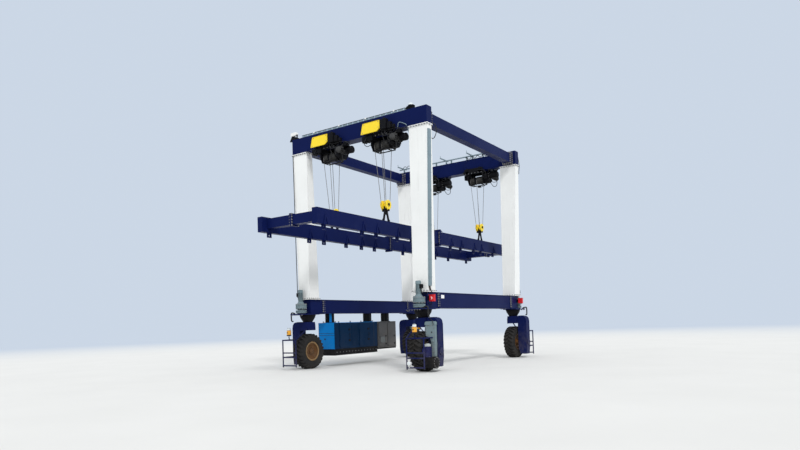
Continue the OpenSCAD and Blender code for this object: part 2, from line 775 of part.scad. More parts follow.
// Ladder guard in front of the wheel, with its beacon and, on a driven bogie, a headlamp
module guard(side, end) {
    driven = is_driven(side, end);
    r = guard_tube_r;
    x0 = -guard_in;
    x1 = guard_out;
    x_beacon = (x0 + x1) / 2;
    beacon_z = guard_top_z + 190;
    cap_in = 15;
    lamp_r = 65;
    lamp_len = 100;
    lamp_back = 60;
    foot = 20;
    post_r = 15;
    lamp_x = 50;
    lamp_z = 310;
    lamp = [-lamp_x, guard_y, lamp_z];
    rung_rise = [310, 480];
    bar_start = driven ? cheek_front + seat_gap + case_t : cheek_front;
    post_under = 60;
    rungs = [guard_low_z, guard_low_z + rung_rise[0], guard_low_z + rung_rise[1], guard_top_z];
    foot_y = arm_d / 2;
    foot_w = 40;
    foot_z = arm_z + 60;
    navy() at_wheel(side, end) {
        for (x = [x0, x1]) bar([x, guard_y, guard_low_z - post_under], [x, guard_y, guard_top_z + r], r);
        for (z = rungs) bar([x0, guard_y, z], [x1, guard_y, z], r);
        bar([x1, bar_start, guard_top_z], [x1, guard_y, guard_top_z], r);
        if (!driven) bar([x1, bar_start, rungs[1]], [x1, guard_y, rungs[1]], r);
        block([x0 - foot_w, foot_y, foot_z - foot_w], [x0 + foot_w, foot_y + foot, foot_z + foot_w]);
        bar([x0, foot_y + foot, foot_z], [x0, guard_y, guard_top_z], r);
        bar([x_beacon, guard_y, guard_top_z], [x_beacon, guard_y, beacon_z + 10], post_r);
        translate([x_beacon, guard_y, beacon_z]) {
            cylinder(r = beacon_r, h = beacon_h);
            translate([0, 0, beacon_h]) cylinder(r = beacon_r - cap_in, h = beacon_h / 2);
        }
        if (driven) {
            bar([lamp.x, guard_y, guard_low_z], lamp, post_r);
            translate(lamp - [0, lamp_back, 0]) rotate([-90, 0, 0]) cylinder(r = lamp_r, h = lamp_len);
        }
    }
}

// Drive on one cheek: tall gear case, upright motor and low bevel gearbox with its round cover
module wheel_drive(side, end) {
    y0 = cheek_front + seat_gap;
    inner = cheek_x - 20;
    outer = arm_out + case_out;
    head_z = 1180;
    head_top = arm_top - 130;
    head_r = 60;
    cap_z = head_top - 110;
    cap_out = 15;
    column_in = outer - 160;
    waist_z = 920;
    waist_in = 20;
    motor_x = outer - 250;
    motor_y = y0 + case_t + drive_motor_r + 5;
    dome = 45;
    neck = 110;
    box_w = 90;
    box_h = 200;
    bevel_d = motor_y + drive_motor_r - y0;
    bevel_out = outer - 35;
    cover_t = 80;
    cover_z = bevel_z + 165;
    ridge_t = 20;
    gear_grey() at_wheel(side, end) {
        // Case: a broad head with its cap, and the column that narrows at the waist
        translate([0, y0 + case_t, 0]) rotate([90, 0, 0]) linear_extrude(height = case_t)
            polygon([[inner, head_z], [inner, cap_z], [outer, cap_z], [outer, waist_z], [outer - waist_in, case_z],
                     [column_in - waist_in, case_z], [column_in, waist_z], [column_in - 3 * waist_in, head_z - 60]]);
        translate([0, y0 + case_t + cap_out, 0]) rotate([90, 0, 0]) linear_extrude(height = case_t + cap_out)
            polygon(concat(
                [[inner - cap_out, cap_z]],
                [for (a = [180:-30:90]) [inner - cap_out + head_r, head_top - head_r] + head_r * [cos(a), sin(a)]],
                [for (a = [90:-30:0]) [outer + cap_out - head_r, head_top - head_r] + head_r * [cos(a), sin(a)]],
                [[outer + cap_out, cap_z]]));
        // Motor with its domed cap and terminal box
        translate([motor_x, motor_y, case_z]) {
            cylinder(r = drive_motor_r, h = drive_motor_h - neck);
            translate([0, 0, drive_motor_h - neck]) cylinder(r = drive_motor_r - ridge_t, h = neck - dome);
            translate([0, 0, drive_motor_h - dome])
                cylinder(r1 = drive_motor_r - ridge_t, r2 = drive_motor_r / 2, h = dome);
            block([-drive_motor_r - box_w + ridge_t, -box_w, neck], [0, box_w, neck + box_h]);
        }
        block([cheek_x, y0, bevel_z], [bevel_out, y0 + bevel_d, case_z + 10]);
        translate([bevel_out - ridge_t, y0 + bevel_cover_r + 5, cover_z]) rotate([0, 90, 0]) {
            cylinder(r = bevel_cover_r, h = cover_t);
            cylinder(r = bevel_cover_r / 2, h = cover_t + 2 * ridge_t);
        }
    }
}

// Places a hoist's pieces: x from its ropes, y outwards from the girder's centre line
module at_hoist(side, end) {
    translate([hoist_place(side), portal_y + end * girder_y, 0])
        mirror([0, end < 0 ? 1 : 0, 0]) children();
}

function hoist_place(side) = side * hoist_x - (side < 0 ? hoist_shift : 0);

module hoist(side, end) {
    half = drum_len / 2;
    t = hoist_plate_t;
    side_y = hoist_side_y;
    wheel_gap = 6;
    axle_lift = girder_z + flange_t + trolley_gap + trolley_wheel_r;
    axle_in = 140;
    side_drop = 120;
    side_rise = 130;
    drum_x = -half + 160;
    plate_low = 30;
    rim_r = drum_r + 22;
    gear_low = 20;
    gear_top = girder_z - 100;
    gear_chamfer = 90;
    motor_z = drum_z + 130;
    fin_t = 12;
    fin_pitch = 60;
    travel_x = half + 320;
    travel_drop = 330;
    travel_z = girder_z - travel_drop;
    travel_len = 430;
    guide = [440, 150, 240];
    black() at_hoist(side, end) {
        // Rope drum between its plates, with the rims of its end discs
        translate([drum_x, 0, drum_z]) rotate([0, 90, 0]) cylinder(r = drum_r, h = half - drum_x);
        for (x = [drum_x + t, half - 2 * t])
            translate([x, 0, drum_z]) rotate([0, 90, 0]) cylinder(r = rim_r, h = t);
        for (x = [drum_x, half - t])
            translate([x, 0, 0]) rotate([90, 0, 90]) linear_extrude(height = t)
                polygon([[-side_y - t, girder_z - t], [-side_y - t, drum_z], [-drum_r, drum_z - drum_r - plate_low],
                         [drum_r, drum_z - drum_r - plate_low], [side_y + t, drum_z], [side_y + t, girder_z - t]]);
        // Gearbox with a chamfered case, and the finned motor beyond it
        translate([half, 0, 0]) rotate([90, 0, 90]) linear_extrude(height = hoist_gear_len)
            polygon([[-drum_r, drum_z - gear_chamfer], [-drum_r + gear_chamfer, drum_z - drum_r - gear_low],
                     [drum_r - gear_chamfer, drum_z - drum_r - gear_low], [drum_r, drum_z - gear_chamfer],
                     [drum_r, gear_top - gear_chamfer], [drum_r - gear_chamfer, gear_top],
                     [-drum_r + gear_chamfer, gear_top], [-drum_r, gear_top - gear_chamfer]]);
        translate([half + hoist_gear_len, 0, motor_z]) rotate([0, 90, 0]) {
            cylinder(r = hoist_motor_r - fin_t, h = hoist_motor_len);
            for (i = [1:4]) translate([0, 0, i * fin_pitch]) cylinder(r = hoist_motor_r, h = fin_t);
        }
        // Travel motor across the trolley's outer side, carried by an arm from the gearbox
        translate([travel_x, -drum_r + gear_chamfer, travel_z]) rotate([-90, 0, 0])
            cylinder(r = travel_motor_r, h = travel_len + drum_r);
        block([half, drum_r - gear_chamfer, travel_z - t], [travel_x, drum_r - t, travel_z + t]);
        // Trolley: side plates, wheels on the runway, and the beam that carries the rope guide
        for (s = [-1, 1]) {
            block([-half, s * side_y, girder_z - side_drop], [half, s * (side_y + t), girder_z + side_rise]);
            for (x = [-1, 1] * (half - axle_in))
                translate([x, s * (girder_w / 2 + wheel_gap), axle_lift]) rotate([-90 * s, 0, 0])
                    cylinder(r = trolley_wheel_r, h = side_y + t / 2 - girder_w / 2 - wheel_gap);
        }
        block([-half - guide.x / 2, side_y - guide.y + t, girder_z - guide.z],
              [-half + guide.x / 2, side_y + t, girder_z - t]);
        block([-half, -side_y, girder_z - side_drop], [-half + t, side_y, girder_z - t]);
        // Control box on the outer side, behind the yellow cover
        block([cover_out - hoist_box_len, side_y + t / 2, girder_z - t],
              [cover_out, side_y + t + hoist_box_d, girder_z - t + hoist_box_h]);
    }
}

// Yellow plates over the control boxes, blank, with one slanting side and one cut corner
module hoist_covers() {
    slant = 95;
    cut = [130, 95];
    yellow() for (side = SIDES, end = ENDS) at_hoist(side, end)
        translate([-cover_start, hoist_side_y + hoist_plate_t + hoist_box_d + cover_d, girder_z])
            rotate([90, 0, 0]) linear_extrude(height = cover_d)
                polygon([[0, 0], [cover_w - cut.x, 0], [cover_w, cut.y], [cover_w, cover_h], [slant, cover_h]]);
}

module ropes() {
    at_drum = drum_r + rope_r + rope_gap;
    at_sheave = sheave_r + rope_r + rope_gap;
    color([0.25, 0.25, 0.27]) for (side = SIDES, end = ENDS, fall = FALLS)
        translate([0, portal_y + end * girder_y, 0])
            bar([hoist_place(side) + fall[0], fall[2] * at_drum, drum_z],
                [side * spreader_x + fall[1], fall[2] * at_sheave, block_z], rope_r);
}

module at_hook(side, end) {
    translate([side * spreader_x, portal_y + end * girder_y, 0]) children();
}

module hook_blocks() {
    axle = 60;
    yellow() for (side = SIDES, end = ENDS) at_hook(side, end) {
        for (x = [-sheave_x, sheave_x])
            translate([x - sheave_w / 2, 0, block_z]) rotate([0, 90, 0]) cylinder(r = sheave_r, h = sheave_w);
        translate([-sheave_x, 0, block_z]) rotate([0, 90, 0]) cylinder(r = axle, h = 2 * sheave_x);
    }
}

// Black links from each hook block to the long beam's top
module hook_links() {
    head = 60 + 0.3;
    leg_in = 120;
    leg_out = 190;
    black() for (side = SIDES, end = ENDS) at_hook(side, end) {
        block([-40, -60, block_z - 150], [40, 60, block_z - head]);
        translate([-25, 0, 0]) rotate([90, 0, 90]) linear_extrude(height = 50)
            for (s = [-1, 1])
                polygon([[0, block_z - 100], [s * 50, block_z - 100],
                         [s * leg_out, spreader_top], [s * leg_in, spreader_top]]);
    }
}

// A-shaped rib over a lifting lug
module a_rib() {
    linear_extrude(height = rib_t) difference() {
        polygon([[-130, 0], [130, 0], [35, rib_h], [-35, rib_h]]);
        polygon([[-75, 0], [75, 0], [0, rib_h - 90]]);
    }
}

module spreader_beam(side) {
    half = spreader_len / 2;
    splice = 25;
    lug_len_y = 180;
    hole_drop = 80;
    rib_half = 130;
    clear_of_cross = cross_in + cross_w / 2 + rib_half + 20;
    splice_half = 40;
    splice_rim = 30;
    navy() translate([side * spreader_x, 0, 0]) difference() {
        union() {
            block([-spreader_w / 2, -half, spreader_z], [spreader_w / 2, half, spreader_top]);
            block([-spreader_w / 2 - splice_rim, -splice_half, spreader_z - splice],
                  [spreader_w / 2 + splice_rim, splice_half, spreader_top + splice]);
            for (lug = LUGS) translate([0, lug * half, spreader_z]) {
                for (face = [-1, 1])
                    if (face == side || abs(lug) * half < half - clear_of_cross)
                        translate([face * spreader_w / 2, 0, 0]) rotate([90, 0, face * 90]) a_rib();
                block([-lug_t / 2, -lug_len_y / 2, -lug_drop], [lug_t / 2, lug_len_y / 2, 0]);
            }
        }
        for (lug = LUGS) translate([-lug_t, lug * half, spreader_z - hole_drop])
            rotate([0, 90, 0]) cylinder(r = shackle_hole_r, h = 2 * lug_t);
    }
}

module spreader_cross_beams() {
    half = spreader_x - spreader_w / 2;
    lap = 40;
    navy() for (end = ENDS)
        translate([0, end * (spreader_len / 2 - cross_in), spreader_z + cross_rise]) {
            block([-half, -cross_w / 2, 0], [half, cross_w / 2, cross_h]);
            block([-lap, -cross_w / 2 - lap, -lap], [lap, cross_w / 2 + lap, cross_h + lap]);
        }
}

leg(LEFT, FRONT);  // leg_left_front
leg(RIGHT, FRONT);  // leg_right_front
leg(RIGHT, REAR);  // leg_right_rear
leg(LEFT, REAR);  // leg_left_rear
girder(FRONT);  // girder_front
girder(REAR);  // girder_rear
tie_beam(LEFT);  // tie_beam_left
tie_beam(RIGHT);  // tie_beam_right
bottom_beam(LEFT);  // bottom_beam_left
bottom_beam(RIGHT);  // bottom_beam_right
steering_drives();
stop_boxes();
cable_ducts();
festoon_cable();
work_lamps();
pack_skid();
pack_engine();
pack_canopy();
pack_door(0);  // pack_door_front
pack_door(1);  // pack_door_rear
cabinet();
cabinet_door(0);  // cabinet_door_front
cabinet_door(1);  // cabinet_door_rear
fork(LEFT, FRONT);  // fork_left_front
fork(RIGHT, FRONT);  // fork_right_front
fork(RIGHT, REAR);  // fork_right_rear
fork(LEFT, REAR);  // fork_left_rear
guard(LEFT, FRONT);  // guard_left_front
guard(RIGHT, FRONT);  // guard_right_front
guard(RIGHT, REAR);  // guard_right_rear
guard(LEFT, REAR);  // guard_left_rear
wheel_drive(RIGHT, FRONT);  // wheel_drive_right_front
wheel_drive(LEFT, REAR);  // wheel_drive_left_rear
tyre(LEFT, FRONT);  // tyre_left_front
tyre(RIGHT, FRONT);  // tyre_right_front
tyre(RIGHT, REAR);  // tyre_right_rear
tyre(LEFT, REAR);  // tyre_left_rear
rim(LEFT, FRONT);  // rim_left_front
rim(RIGHT, FRONT);  // rim_right_front
rim(RIGHT, REAR);  // rim_right_rear
rim(LEFT, REAR);  // rim_left_rear
hoist(LEFT, FRONT);  // hoist_left_front
hoist(RIGHT, FRONT);  // hoist_right_front
hoist(RIGHT, REAR);  // hoist_right_rear
hoist(LEFT, REAR);  // hoist_left_rear
hoist_covers();
ropes();
hook_blocks();
hook_links();
spreader_beam(LEFT);  // spreader_beam_left
spreader_beam(RIGHT);  // spreader_beam_right
spreader_cross_beams();
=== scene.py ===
"""The straddle carrier's looks: finishes, fasteners, tyres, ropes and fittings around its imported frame.

Everything is in metres in the frame's own axes: X across the portal, Y along the travel, Z up.
"""
import json
import math

import bmesh
import bpy
from mathutils import Matrix, Vector


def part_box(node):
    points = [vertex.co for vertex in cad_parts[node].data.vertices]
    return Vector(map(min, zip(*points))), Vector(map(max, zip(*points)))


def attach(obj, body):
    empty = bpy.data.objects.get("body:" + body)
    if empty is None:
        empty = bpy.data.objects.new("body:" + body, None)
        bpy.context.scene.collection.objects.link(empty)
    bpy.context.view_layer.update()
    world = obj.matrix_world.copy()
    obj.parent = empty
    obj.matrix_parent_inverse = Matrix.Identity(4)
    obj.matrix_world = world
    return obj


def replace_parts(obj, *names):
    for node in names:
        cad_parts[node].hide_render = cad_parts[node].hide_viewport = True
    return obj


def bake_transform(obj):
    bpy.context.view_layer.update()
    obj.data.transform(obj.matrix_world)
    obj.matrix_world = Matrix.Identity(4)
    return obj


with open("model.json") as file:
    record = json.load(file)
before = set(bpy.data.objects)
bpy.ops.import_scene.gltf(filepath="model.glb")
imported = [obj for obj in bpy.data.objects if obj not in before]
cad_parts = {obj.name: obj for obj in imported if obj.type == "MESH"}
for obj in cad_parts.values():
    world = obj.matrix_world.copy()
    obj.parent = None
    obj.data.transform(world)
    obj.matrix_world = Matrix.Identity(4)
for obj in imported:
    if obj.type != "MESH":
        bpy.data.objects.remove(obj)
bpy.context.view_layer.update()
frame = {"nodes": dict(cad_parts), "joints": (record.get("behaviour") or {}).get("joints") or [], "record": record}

bl_info = {
    "name": "Straddle carrier finishes",
    "version": (1, 0, 0),
    "blender": (4, 5, 0),
    "location": "3D View > Sidebar > Carrier",
    "description": "Adds paint, tyres, ropes, bolts and fittings to a straddle carrier's frame",
    "category": "Object",
}

CORNERS = ("left_front", "right_front", "right_rear", "left_rear")
# Both sides of one thing with both sides of another
PAIRS = ((-1, -1), (-1, 1), (1, -1), (1, 1))
# Places that the frame gives
JOINTS = {joint["name"]: joint for joint in frame["joints"]}
WHEEL = {corner: Vector(JOINTS["steer_" + corner]["pos_m"]) for corner in CORNERS}
PORTAL_Y = (WHEEL["left_front"].y + WHEEL["left_rear"].y) / 2


def side_of(corner):
    """-1 on the left of the machine, 1 on the right."""
    return math.copysign(1, WHEEL[corner].x)


def end_of(corner):
    """-1 at the front of the machine, 1 at the rear."""
    return math.copysign(1, WHEEL[corner].y - PORTAL_Y)


def at_wheel(corner):
    """Places what is drawn for the right rear bogie, from the ground under its kingpin, at another corner."""
    foot = Vector((WHEEL[corner].x, WHEEL[corner].y, 0))
    return Matrix.Translation(foot) @ Matrix.Diagonal((side_of(corner), end_of(corner), 1, 1))


def at_portal(corner):
    """Places what is drawn for the portal's right rear corner at another corner."""
    return Matrix.Translation((0, PORTAL_Y, 0)) @ Matrix.Diagonal((side_of(corner), end_of(corner), 1, 1))


class CarrierPaint(bpy.types.PropertyGroup):
    """Colours of the finishes, as linear values."""

    def colour(label, value):
        return bpy.props.FloatVectorProperty(name=label, description=label + " before dirt and wear",
                                             default=value, size=3, min=0, max=1, subtype="COLOR")

    white: colour("White legs", (0.86, 0.87, 0.86))
    navy: colour("Navy beams", (0.005, 0.010, 0.068))
    yellow: colour("Yellow covers", (0.95, 0.70, 0.03))
    # Lit and shaded copies of the rims' one paint: the dishes, hub caps and nuts are darkened as painted shade of
    # the dish's recess
    rim: colour("Rims", (0.135, 0.055, 0.012))
    rim_ring: colour("Rims' outer rings", (0.32, 0.20, 0.08))
    black: colour("Black hoists", (0.006, 0.006, 0.008))
    gear: colour("Grey gearboxes", (0.17, 0.235, 0.26))
    pack: colour("Blue power pack", (0.002, 0.22, 0.64))
    # Painted shade: the pack's one blue darkened for the canopy's inner long face, its doors and louvres
    pack_side_painted_shade: colour("Power pack's doors", (0.002, 0.020, 0.060))
    cabinet: colour("Grey cabinet", (0.066, 0.066, 0.069))
    red: colour("Red stop boxes", (0.62, 0.018, 0.022))
    amber: colour("Amber beacons", (0.90, 0.42, 0.02))
    rubber: colour("Tyre rubber", (0.015, 0.014, 0.014))
    dust: colour("Dust and mud", (0.30, 0.26, 0.21))


class CarrierStage(bpy.types.PropertyGroup):
    """Camera and light."""

    lens: bpy.props.FloatProperty(name="Lens", description="Focal length on a 36 mm sensor", default=27.55,
                                  min=10)
    shift: bpy.props.FloatProperty(name="Shift", description="Upward shift of the frame", default=0.094)
    sun: bpy.props.FloatProperty(name="Key", description="Strength of the key light", default=1.65, min=0)
    sky: bpy.props.FloatProperty(name="Fill", description="Strength of the light from all round",
                                 default=0.87, min=0)
    floor: bpy.props.FloatProperty(name="Floor", description="Half width of the floor", default=160,
                                   unit="LENGTH", min=20)


class CarrierTyres(bpy.types.PropertyGroup):
    """Tread of the tyres."""

    lugs: bpy.props.IntProperty(name="Lugs", description="Lugs round each half of a tyre", default=26,
                                min=12, max=60)
    depth: bpy.props.FloatProperty(name="Lug depth", description="Height of a lug over the casing",
                                   default=0.048, unit="LENGTH", min=0.005)
    sweep: bpy.props.FloatProperty(name="Sweep", description="How far a lug runs round the tyre",
                                   default=0.125, unit="LENGTH", min=0)


# Small tools for nodes

def socket(group, direction, label, kind, value=None):
    made = group.interface.new_socket(label, in_out=direction, socket_type="NodeSocket" + kind)
    if value is not None:
        made.default_value = value
    return made


def put(tree, kind, links=(), **settings):
    """Adds a node; links maps its input sockets to values or to other nodes' outputs."""
    node = tree.nodes.new(kind)
    for key, value in settings.items():
        setattr(node, key, value)
    for key, value in dict(links).items():
        target = node.inputs[key]
        if isinstance(value, bpy.types.NodeSocket):
            tree.links.new(value, target)
        else:
            target.default_value = value
    return node


def math_node(tree, operation, a, b=0.0, clamp=False):
    return put(tree, "ShaderNodeMath", {0: a, 1: b}, operation=operation, use_clamp=clamp).outputs[0]


def mixed(tree, factor, a, b):
    """Mixes two colours."""
    node = put(tree, "ShaderNodeMix", {"Factor": factor}, data_type="RGBA")
    for index, value in ((6, a), (7, b)):
        if isinstance(value, bpy.types.NodeSocket):
            tree.links.new(value, node.inputs[index])
        else:
            node.inputs[index].default_value = (*value[:3], 1)
    return node.outputs[2]


def shader_group(name, inputs, outputs):
    """A shader node group with named inputs and outputs, and its input and output nodes."""
    group = bpy.data.node_groups.new(name, "ShaderNodeTree")
    for label, value in inputs:
        socket(group, "INPUT", label, "Float", value)
    for label in outputs:
        socket(group, "OUTPUT", label, "Float")
    return group, group.nodes.new("NodeGroupInput"), group.nodes.new("NodeGroupOutput")


def seen_rays(tree):
    """1 for rays from the camera or off a shiny face, 0 for the rest."""
    path = tree.nodes.new("ShaderNodeLightPath")
    return math_node(tree, "MAXIMUM", path.outputs["Is Camera Ray"], path.outputs["Is Glossy Ray"])


def ramp(tree, value, low, high):
    """A smooth step of a value from 0 at low to 1 at high."""
    node = put(tree, "ShaderNodeMapRange", {"Value": value, "From Min": low, "From Max": high},
               interpolation_type="SMOOTHSTEP")
    return node.outputs["Result"]


def noise(tree, vector, scale, detail=4.0, rough=0.55):
    return put(tree, "ShaderNodeTexNoise", {"Vector": vector, "Scale": scale, "Detail": detail,
                                            "Roughness": rough}).outputs["Fac"]


def grime_group():
    """Large soft patches, rain streaks down the plates, and dust that thins out upwards."""
    group, given, result = shader_group(
        "grime", [("Patch Scale", 0.8), ("Streak Scale", 9.0), ("Dust Top", 1.6)],
        ["Patches", "Streaks", "Dust"])
    place = put(group, "ShaderNodeTexCoord").outputs["Object"]
    patches = ramp(group, noise(group, place, given.outputs["Patch Scale"]), 0.35, 0.70)
    stretched = put(group, "ShaderNodeMapping", {"Vector": place, "Scale": (1, 1, 0.045)}).outputs[0]
    runs = noise(group, stretched, given.outputs["Streak Scale"], 5.0, 0.6)
    broken = noise(group, place, 1.7, 3.0)
    streaks = math_node(group, "MULTIPLY", ramp(group, runs, 0.52, 0.74), ramp(group, broken, 0.42, 0.62))
    height = put(group, "ShaderNodeSeparateXYZ", {0: place}).outputs["Z"]
    fade = math_node(group, "SUBTRACT", 1.0, math_node(group, "DIVIDE", height, given.outputs["Dust Top"]),
                     True)
    speckle = math_node(group, "ADD", noise(group, place, 14.0, 6.0, 0.7), noise(group, place, 2.3, 3.0))
    dust = math_node(group, "MULTIPLY", fade, ramp(group, speckle, 0.75, 1.25), True)
    for label, value in (("Patches", patches), ("Streaks", streaks), ("Dust", dust)):
        group.links.new(value, result.inputs[label])
    return group


def wear_group():
    """A mask of edges where paint has chipped, and of lone chips on the flats."""
    group, given, result = shader_group("edge_wear", [("Radius", 0.012), ("Chip Scale", 18.0)],
                                        ["Edges", "Chips"])
    place = put(group, "ShaderNodeTexCoord").outputs["Object"]
    rounded = put(group, "ShaderNodeBevel", {"Radius": given.outputs["Radius"]}, samples=4).outputs[0]
    flat = put(group, "ShaderNodeNewGeometry").outputs["True Normal"]
    same = put(group, "ShaderNodeVectorMath", {0: rounded, 1: flat}, operation="DOT_PRODUCT").outputs["Value"]
    edge = ramp(group, math_node(group, "SUBTRACT", 1.0, same), 0.02, 0.22)
    rough = noise(group, place, given.outputs["Chip Scale"], 6.0, 0.7)
    edges = math_node(group, "MULTIPLY", edge, ramp(group, rough, 0.46, 0.60), True)
    spots = ramp(group, noise(group, place, 31.0, 3.0, 0.5), 0.70, 0.74)
    group.links.new(edges, result.inputs["Edges"])
    group.links.new(spots, result.inputs["Chips"])
    return group


def relief_group():
    """Heights of a painted plate: orange peel, and the slow waves that welding leaves."""
    group, given, result = shader_group("plate_relief", [("Peel", 0.3), ("Waves", 1.0)], ["Height"])
    place = put(group, "ShaderNodeTexCoord").outputs["Object"]
    peel = math_node(group, "MULTIPLY", noise(group, place, 170.0, 2.0), given.outputs["Peel"])
    waves = math_node(group, "MULTIPLY", noise(group, place, 2.4, 1.0), given.outputs["Waves"])
    group.links.new(math_node(group, "ADD", peel, waves), result.inputs["Height"])
    return group


GROUP_MAKERS = {"grime": grime_group, "edge_wear": wear_group, "plate_relief": relief_group}
TREES = {}
MATERIALS = {}


def once(name, maker):
    """What a maker builds, built the first time that it is asked for."""
    if name not in TREES:
        TREES[name] = maker()
    return TREES[name]


def place_group(tree, name, **values):
    node = tree.nodes.new("ShaderNodeGroup")
    node.node_tree = once(name, GROUP_MAKERS[name])
    for key, value in values.items():
        node.inputs[key.replace("_", " ").title()].default_value = value
    return node.outputs


def new_material(name):
    """Makes a material and gives its tree and its shader."""
    made = bpy.data.materials.new(name)
    made.use_nodes = True
    MATERIALS[name] = made
    return made.node_tree, made.node_tree.nodes["Principled BSDF"]


def painted(name, colour, roughness=0.32, dust=0.5, streak=0.25, patch=0.12, chips=0.6, dust_top=1.6,
            under=(0.045, 0.03, 0.022), relief=0.25, scale=0.8, shine=0.3, tint=(1, 1, 1)):
    """Paint on steel with dirt, streaks, chipped edges and a slightly wavy plate under it."""
    tree, shader = new_material(name)
    colour = tuple(colour)
    dirt = tuple(bpy.context.scene.carrier_paint.dust)
    grime = place_group(tree, "grime", patch_scale=scale, dust_top=dust_top)
    wear = place_group(tree, "edge_wear")
    height = place_group(tree, "plate_relief")["Height"]
    darker = tuple(0.72 * c for c in colour)
    tone = mixed(tree, math_node(tree, "MULTIPLY", grime["Patches"], patch * 3), colour, darker)
    tone = mixed(tree, math_node(tree, "MULTIPLY", grime["Streaks"], streak), tone,
                 tuple(0.45 * c + 0.25 * d for c, d in zip(colour, dirt)))
    tone = mixed(tree, math_node(tree, "MULTIPLY", grime["Dust"], dust), tone, dirt)
    spots = math_node(tree, "MULTIPLY", wear["Chips"], 0.4)
    worn = math_node(tree, "MULTIPLY", math_node(tree, "MAXIMUM", wear["Edges"], spots), chips, True)
    tone = mixed(tree, worn, tone, under)
    tree.links.new(tone, shader.inputs["Base Color"])
    gloss = math_node(tree, "ADD", math_node(tree, "MULTIPLY", grime["Dust"], 0.45 * dust),
                      math_node(tree, "MULTIPLY", grime["Patches"], 0.12))
    gloss = math_node(tree, "ADD", gloss, math_node(tree, "MULTIPLY", worn, 0.3))
    gloss = math_node(tree, "ADD", gloss, roughness, True)
    tree.links.new(gloss, shader.inputs["Roughness"])
    bump = put(tree, "ShaderNodeBump", {"Height": height, "Strength": relief, "Distance": 0.004})
    tree.links.new(bump.outputs[0], shader.inputs["Normal"])
    shader.inputs["Specular IOR Level"].default_value = shine
    # A tint other than white colours the reflections; the blue one given for the dark paints is a painted sky
    # reflection
    shader.inputs["Specular Tint"].default_value = (*tint, 1)


# Small tools for meshes

def circle(count, start=0.0):
    """Angles at equal steps all the way round."""
    return [start + 2 * math.pi * i / count for i in range(count)]


def arc(across, up, radius, degrees):
    """Points of an outline on a circle round a place."""
    angles = [math.radians(degree) for degree in degrees]
    return [(across + radius * math.cos(a), up + radius * math.sin(a)) for a in angles]


def linked(name, data):
    """Puts an object into the scene."""
    made = bpy.data.objects.new(name, data)
    bpy.context.scene.collection.objects.link(made)
    return made


class Shape:
    """Collects closed solids into one mesh; place is applied to each as it is drawn."""

    def __init__(self, place=None):
        self.mesh = bmesh.new()
        self.place = place or Matrix.Identity(4)

    def add(self, vertices, faces):
        made = [self.mesh.verts.new(self.place @ Vector(v)) for v in vertices]
        for face in faces:
            self.mesh.faces.new([made[i] for i in face])

    def block(self, low, high):
        x, y, z = zip(low, high)
        corners = [(x[i], y[j], z[k]) for i in (0, 1) for j in (0, 1) for k in (0, 1)]
        self.add(corners, [(0, 1, 3, 2), (4, 6, 7, 5), (0, 4, 5, 1), (2, 3, 7, 6), (0, 2, 6, 4),
                           (1, 5, 7, 3)])

    def prism(self, outline, across, low, high):
        """An outline in the plane at right angles to one axis, drawn out from low to high along it."""
        def lift(point, along):
            first, second = point
            return {"x": (along, first, second), "y": (first, along, second),
                    "z": (first, second, along)}[across]
        count = len(outline)
        vertices = [lift(point, along) for along in (low, high) for point in outline]
        faces = [tuple(range(count)), tuple(range(count, 2 * count))]
        faces += [(i, (i + 1) % count, count + (i + 1) % count, count + i) for i in range(count)]
        self.add(vertices, faces)

    def rings(self, loops, closed=False):
        """Joins loops of equal length one after the other, with a cap on each end."""
        count = len(loops[0])
        vertices = [v for loop in loops for v in loop]
        last = len(loops) if closed else len(loops) - 1
        faces = []
        for ring in range(last):
            a, b = ring * count, (ring + 1) % len(loops) * count
            faces += [(a + i, a + (i + 1) % count, b + (i + 1) % count, b + i) for i in range(count)]
        if not closed:
            faces += [tuple(range(count)), tuple(range((len(loops) - 1) * count, len(loops) * count))]
        self.add(vertices, faces)

    def border(self, low, high, wide, left=True):
        """Bars round an upright rectangle that faces along X, with or without the left one."""
        (x0, y0, z0), (x1, y1, z1) = low, high
        self.block(low, (x1, y1, z0 + wide))
        self.block((x0, y0, z1 - wide), high)
        if left:
            self.block(low, (x1, y0 + wide, z1))
        self.block((x0, y1 - wide, z0), high)

    def spun(self, profile, origin, axis, sides):
        """A profile of (radius, distance along) points at each angle round an axis."""
        turn = Vector((0, 0, 1)).rotation_difference(Vector(axis).normalized()).to_matrix()
        return [[Vector(origin) + turn @ Vector((r * math.cos(a), r * math.sin(a), along))
                 for r, along in profile] for a in circle(sides)]

    def lathe(self, profile, origin, axis, sides=32):
        """Turns an open profile round an axis; the ends are capped."""
        self.rings(list(zip(*self.spun(profile, origin, axis, sides))))

    def ring_of(self, profile, origin, axis, sides=48):
        """Turns a closed section round an axis."""
        self.rings(self.spun(profile, origin, axis, sides), closed=True)

    def pipe(self, points, radius, sides=8):
        """A tube along a list of points."""
        points = [Vector(p) for p in points]
        loops, across = [], None
        for i, point in enumerate(points):
            along = (points[min(i + 1, len(points) - 1)] - points[max(i - 1, 0)]).normalized()
            if across is None:
                across = along.orthogonal().normalized()
            across = (across - along * across.dot(along)).normalized()
            other = along.cross(across)
            loops.append([point + radius * (math.cos(a) * across + math.sin(a) * other)
                          for a in circle(sides)])
        self.rings(loops)

    def data(self, name):
        """The solids as one mesh with outward faces."""
        bmesh.ops.recalc_face_normals(self.mesh, faces=self.mesh.faces)
        data = bpy.data.meshes.new(name)
        self.mesh.to_mesh(data)
        self.mesh.free()
        return data

    def done(self, name, finish, body, slot, bevel=0.0, angle=35):
        """Makes the piece, with a finish, a body to ride on and an optional bevel."""
        return piece(name, self.data(name), finish, body, bevel, angle)


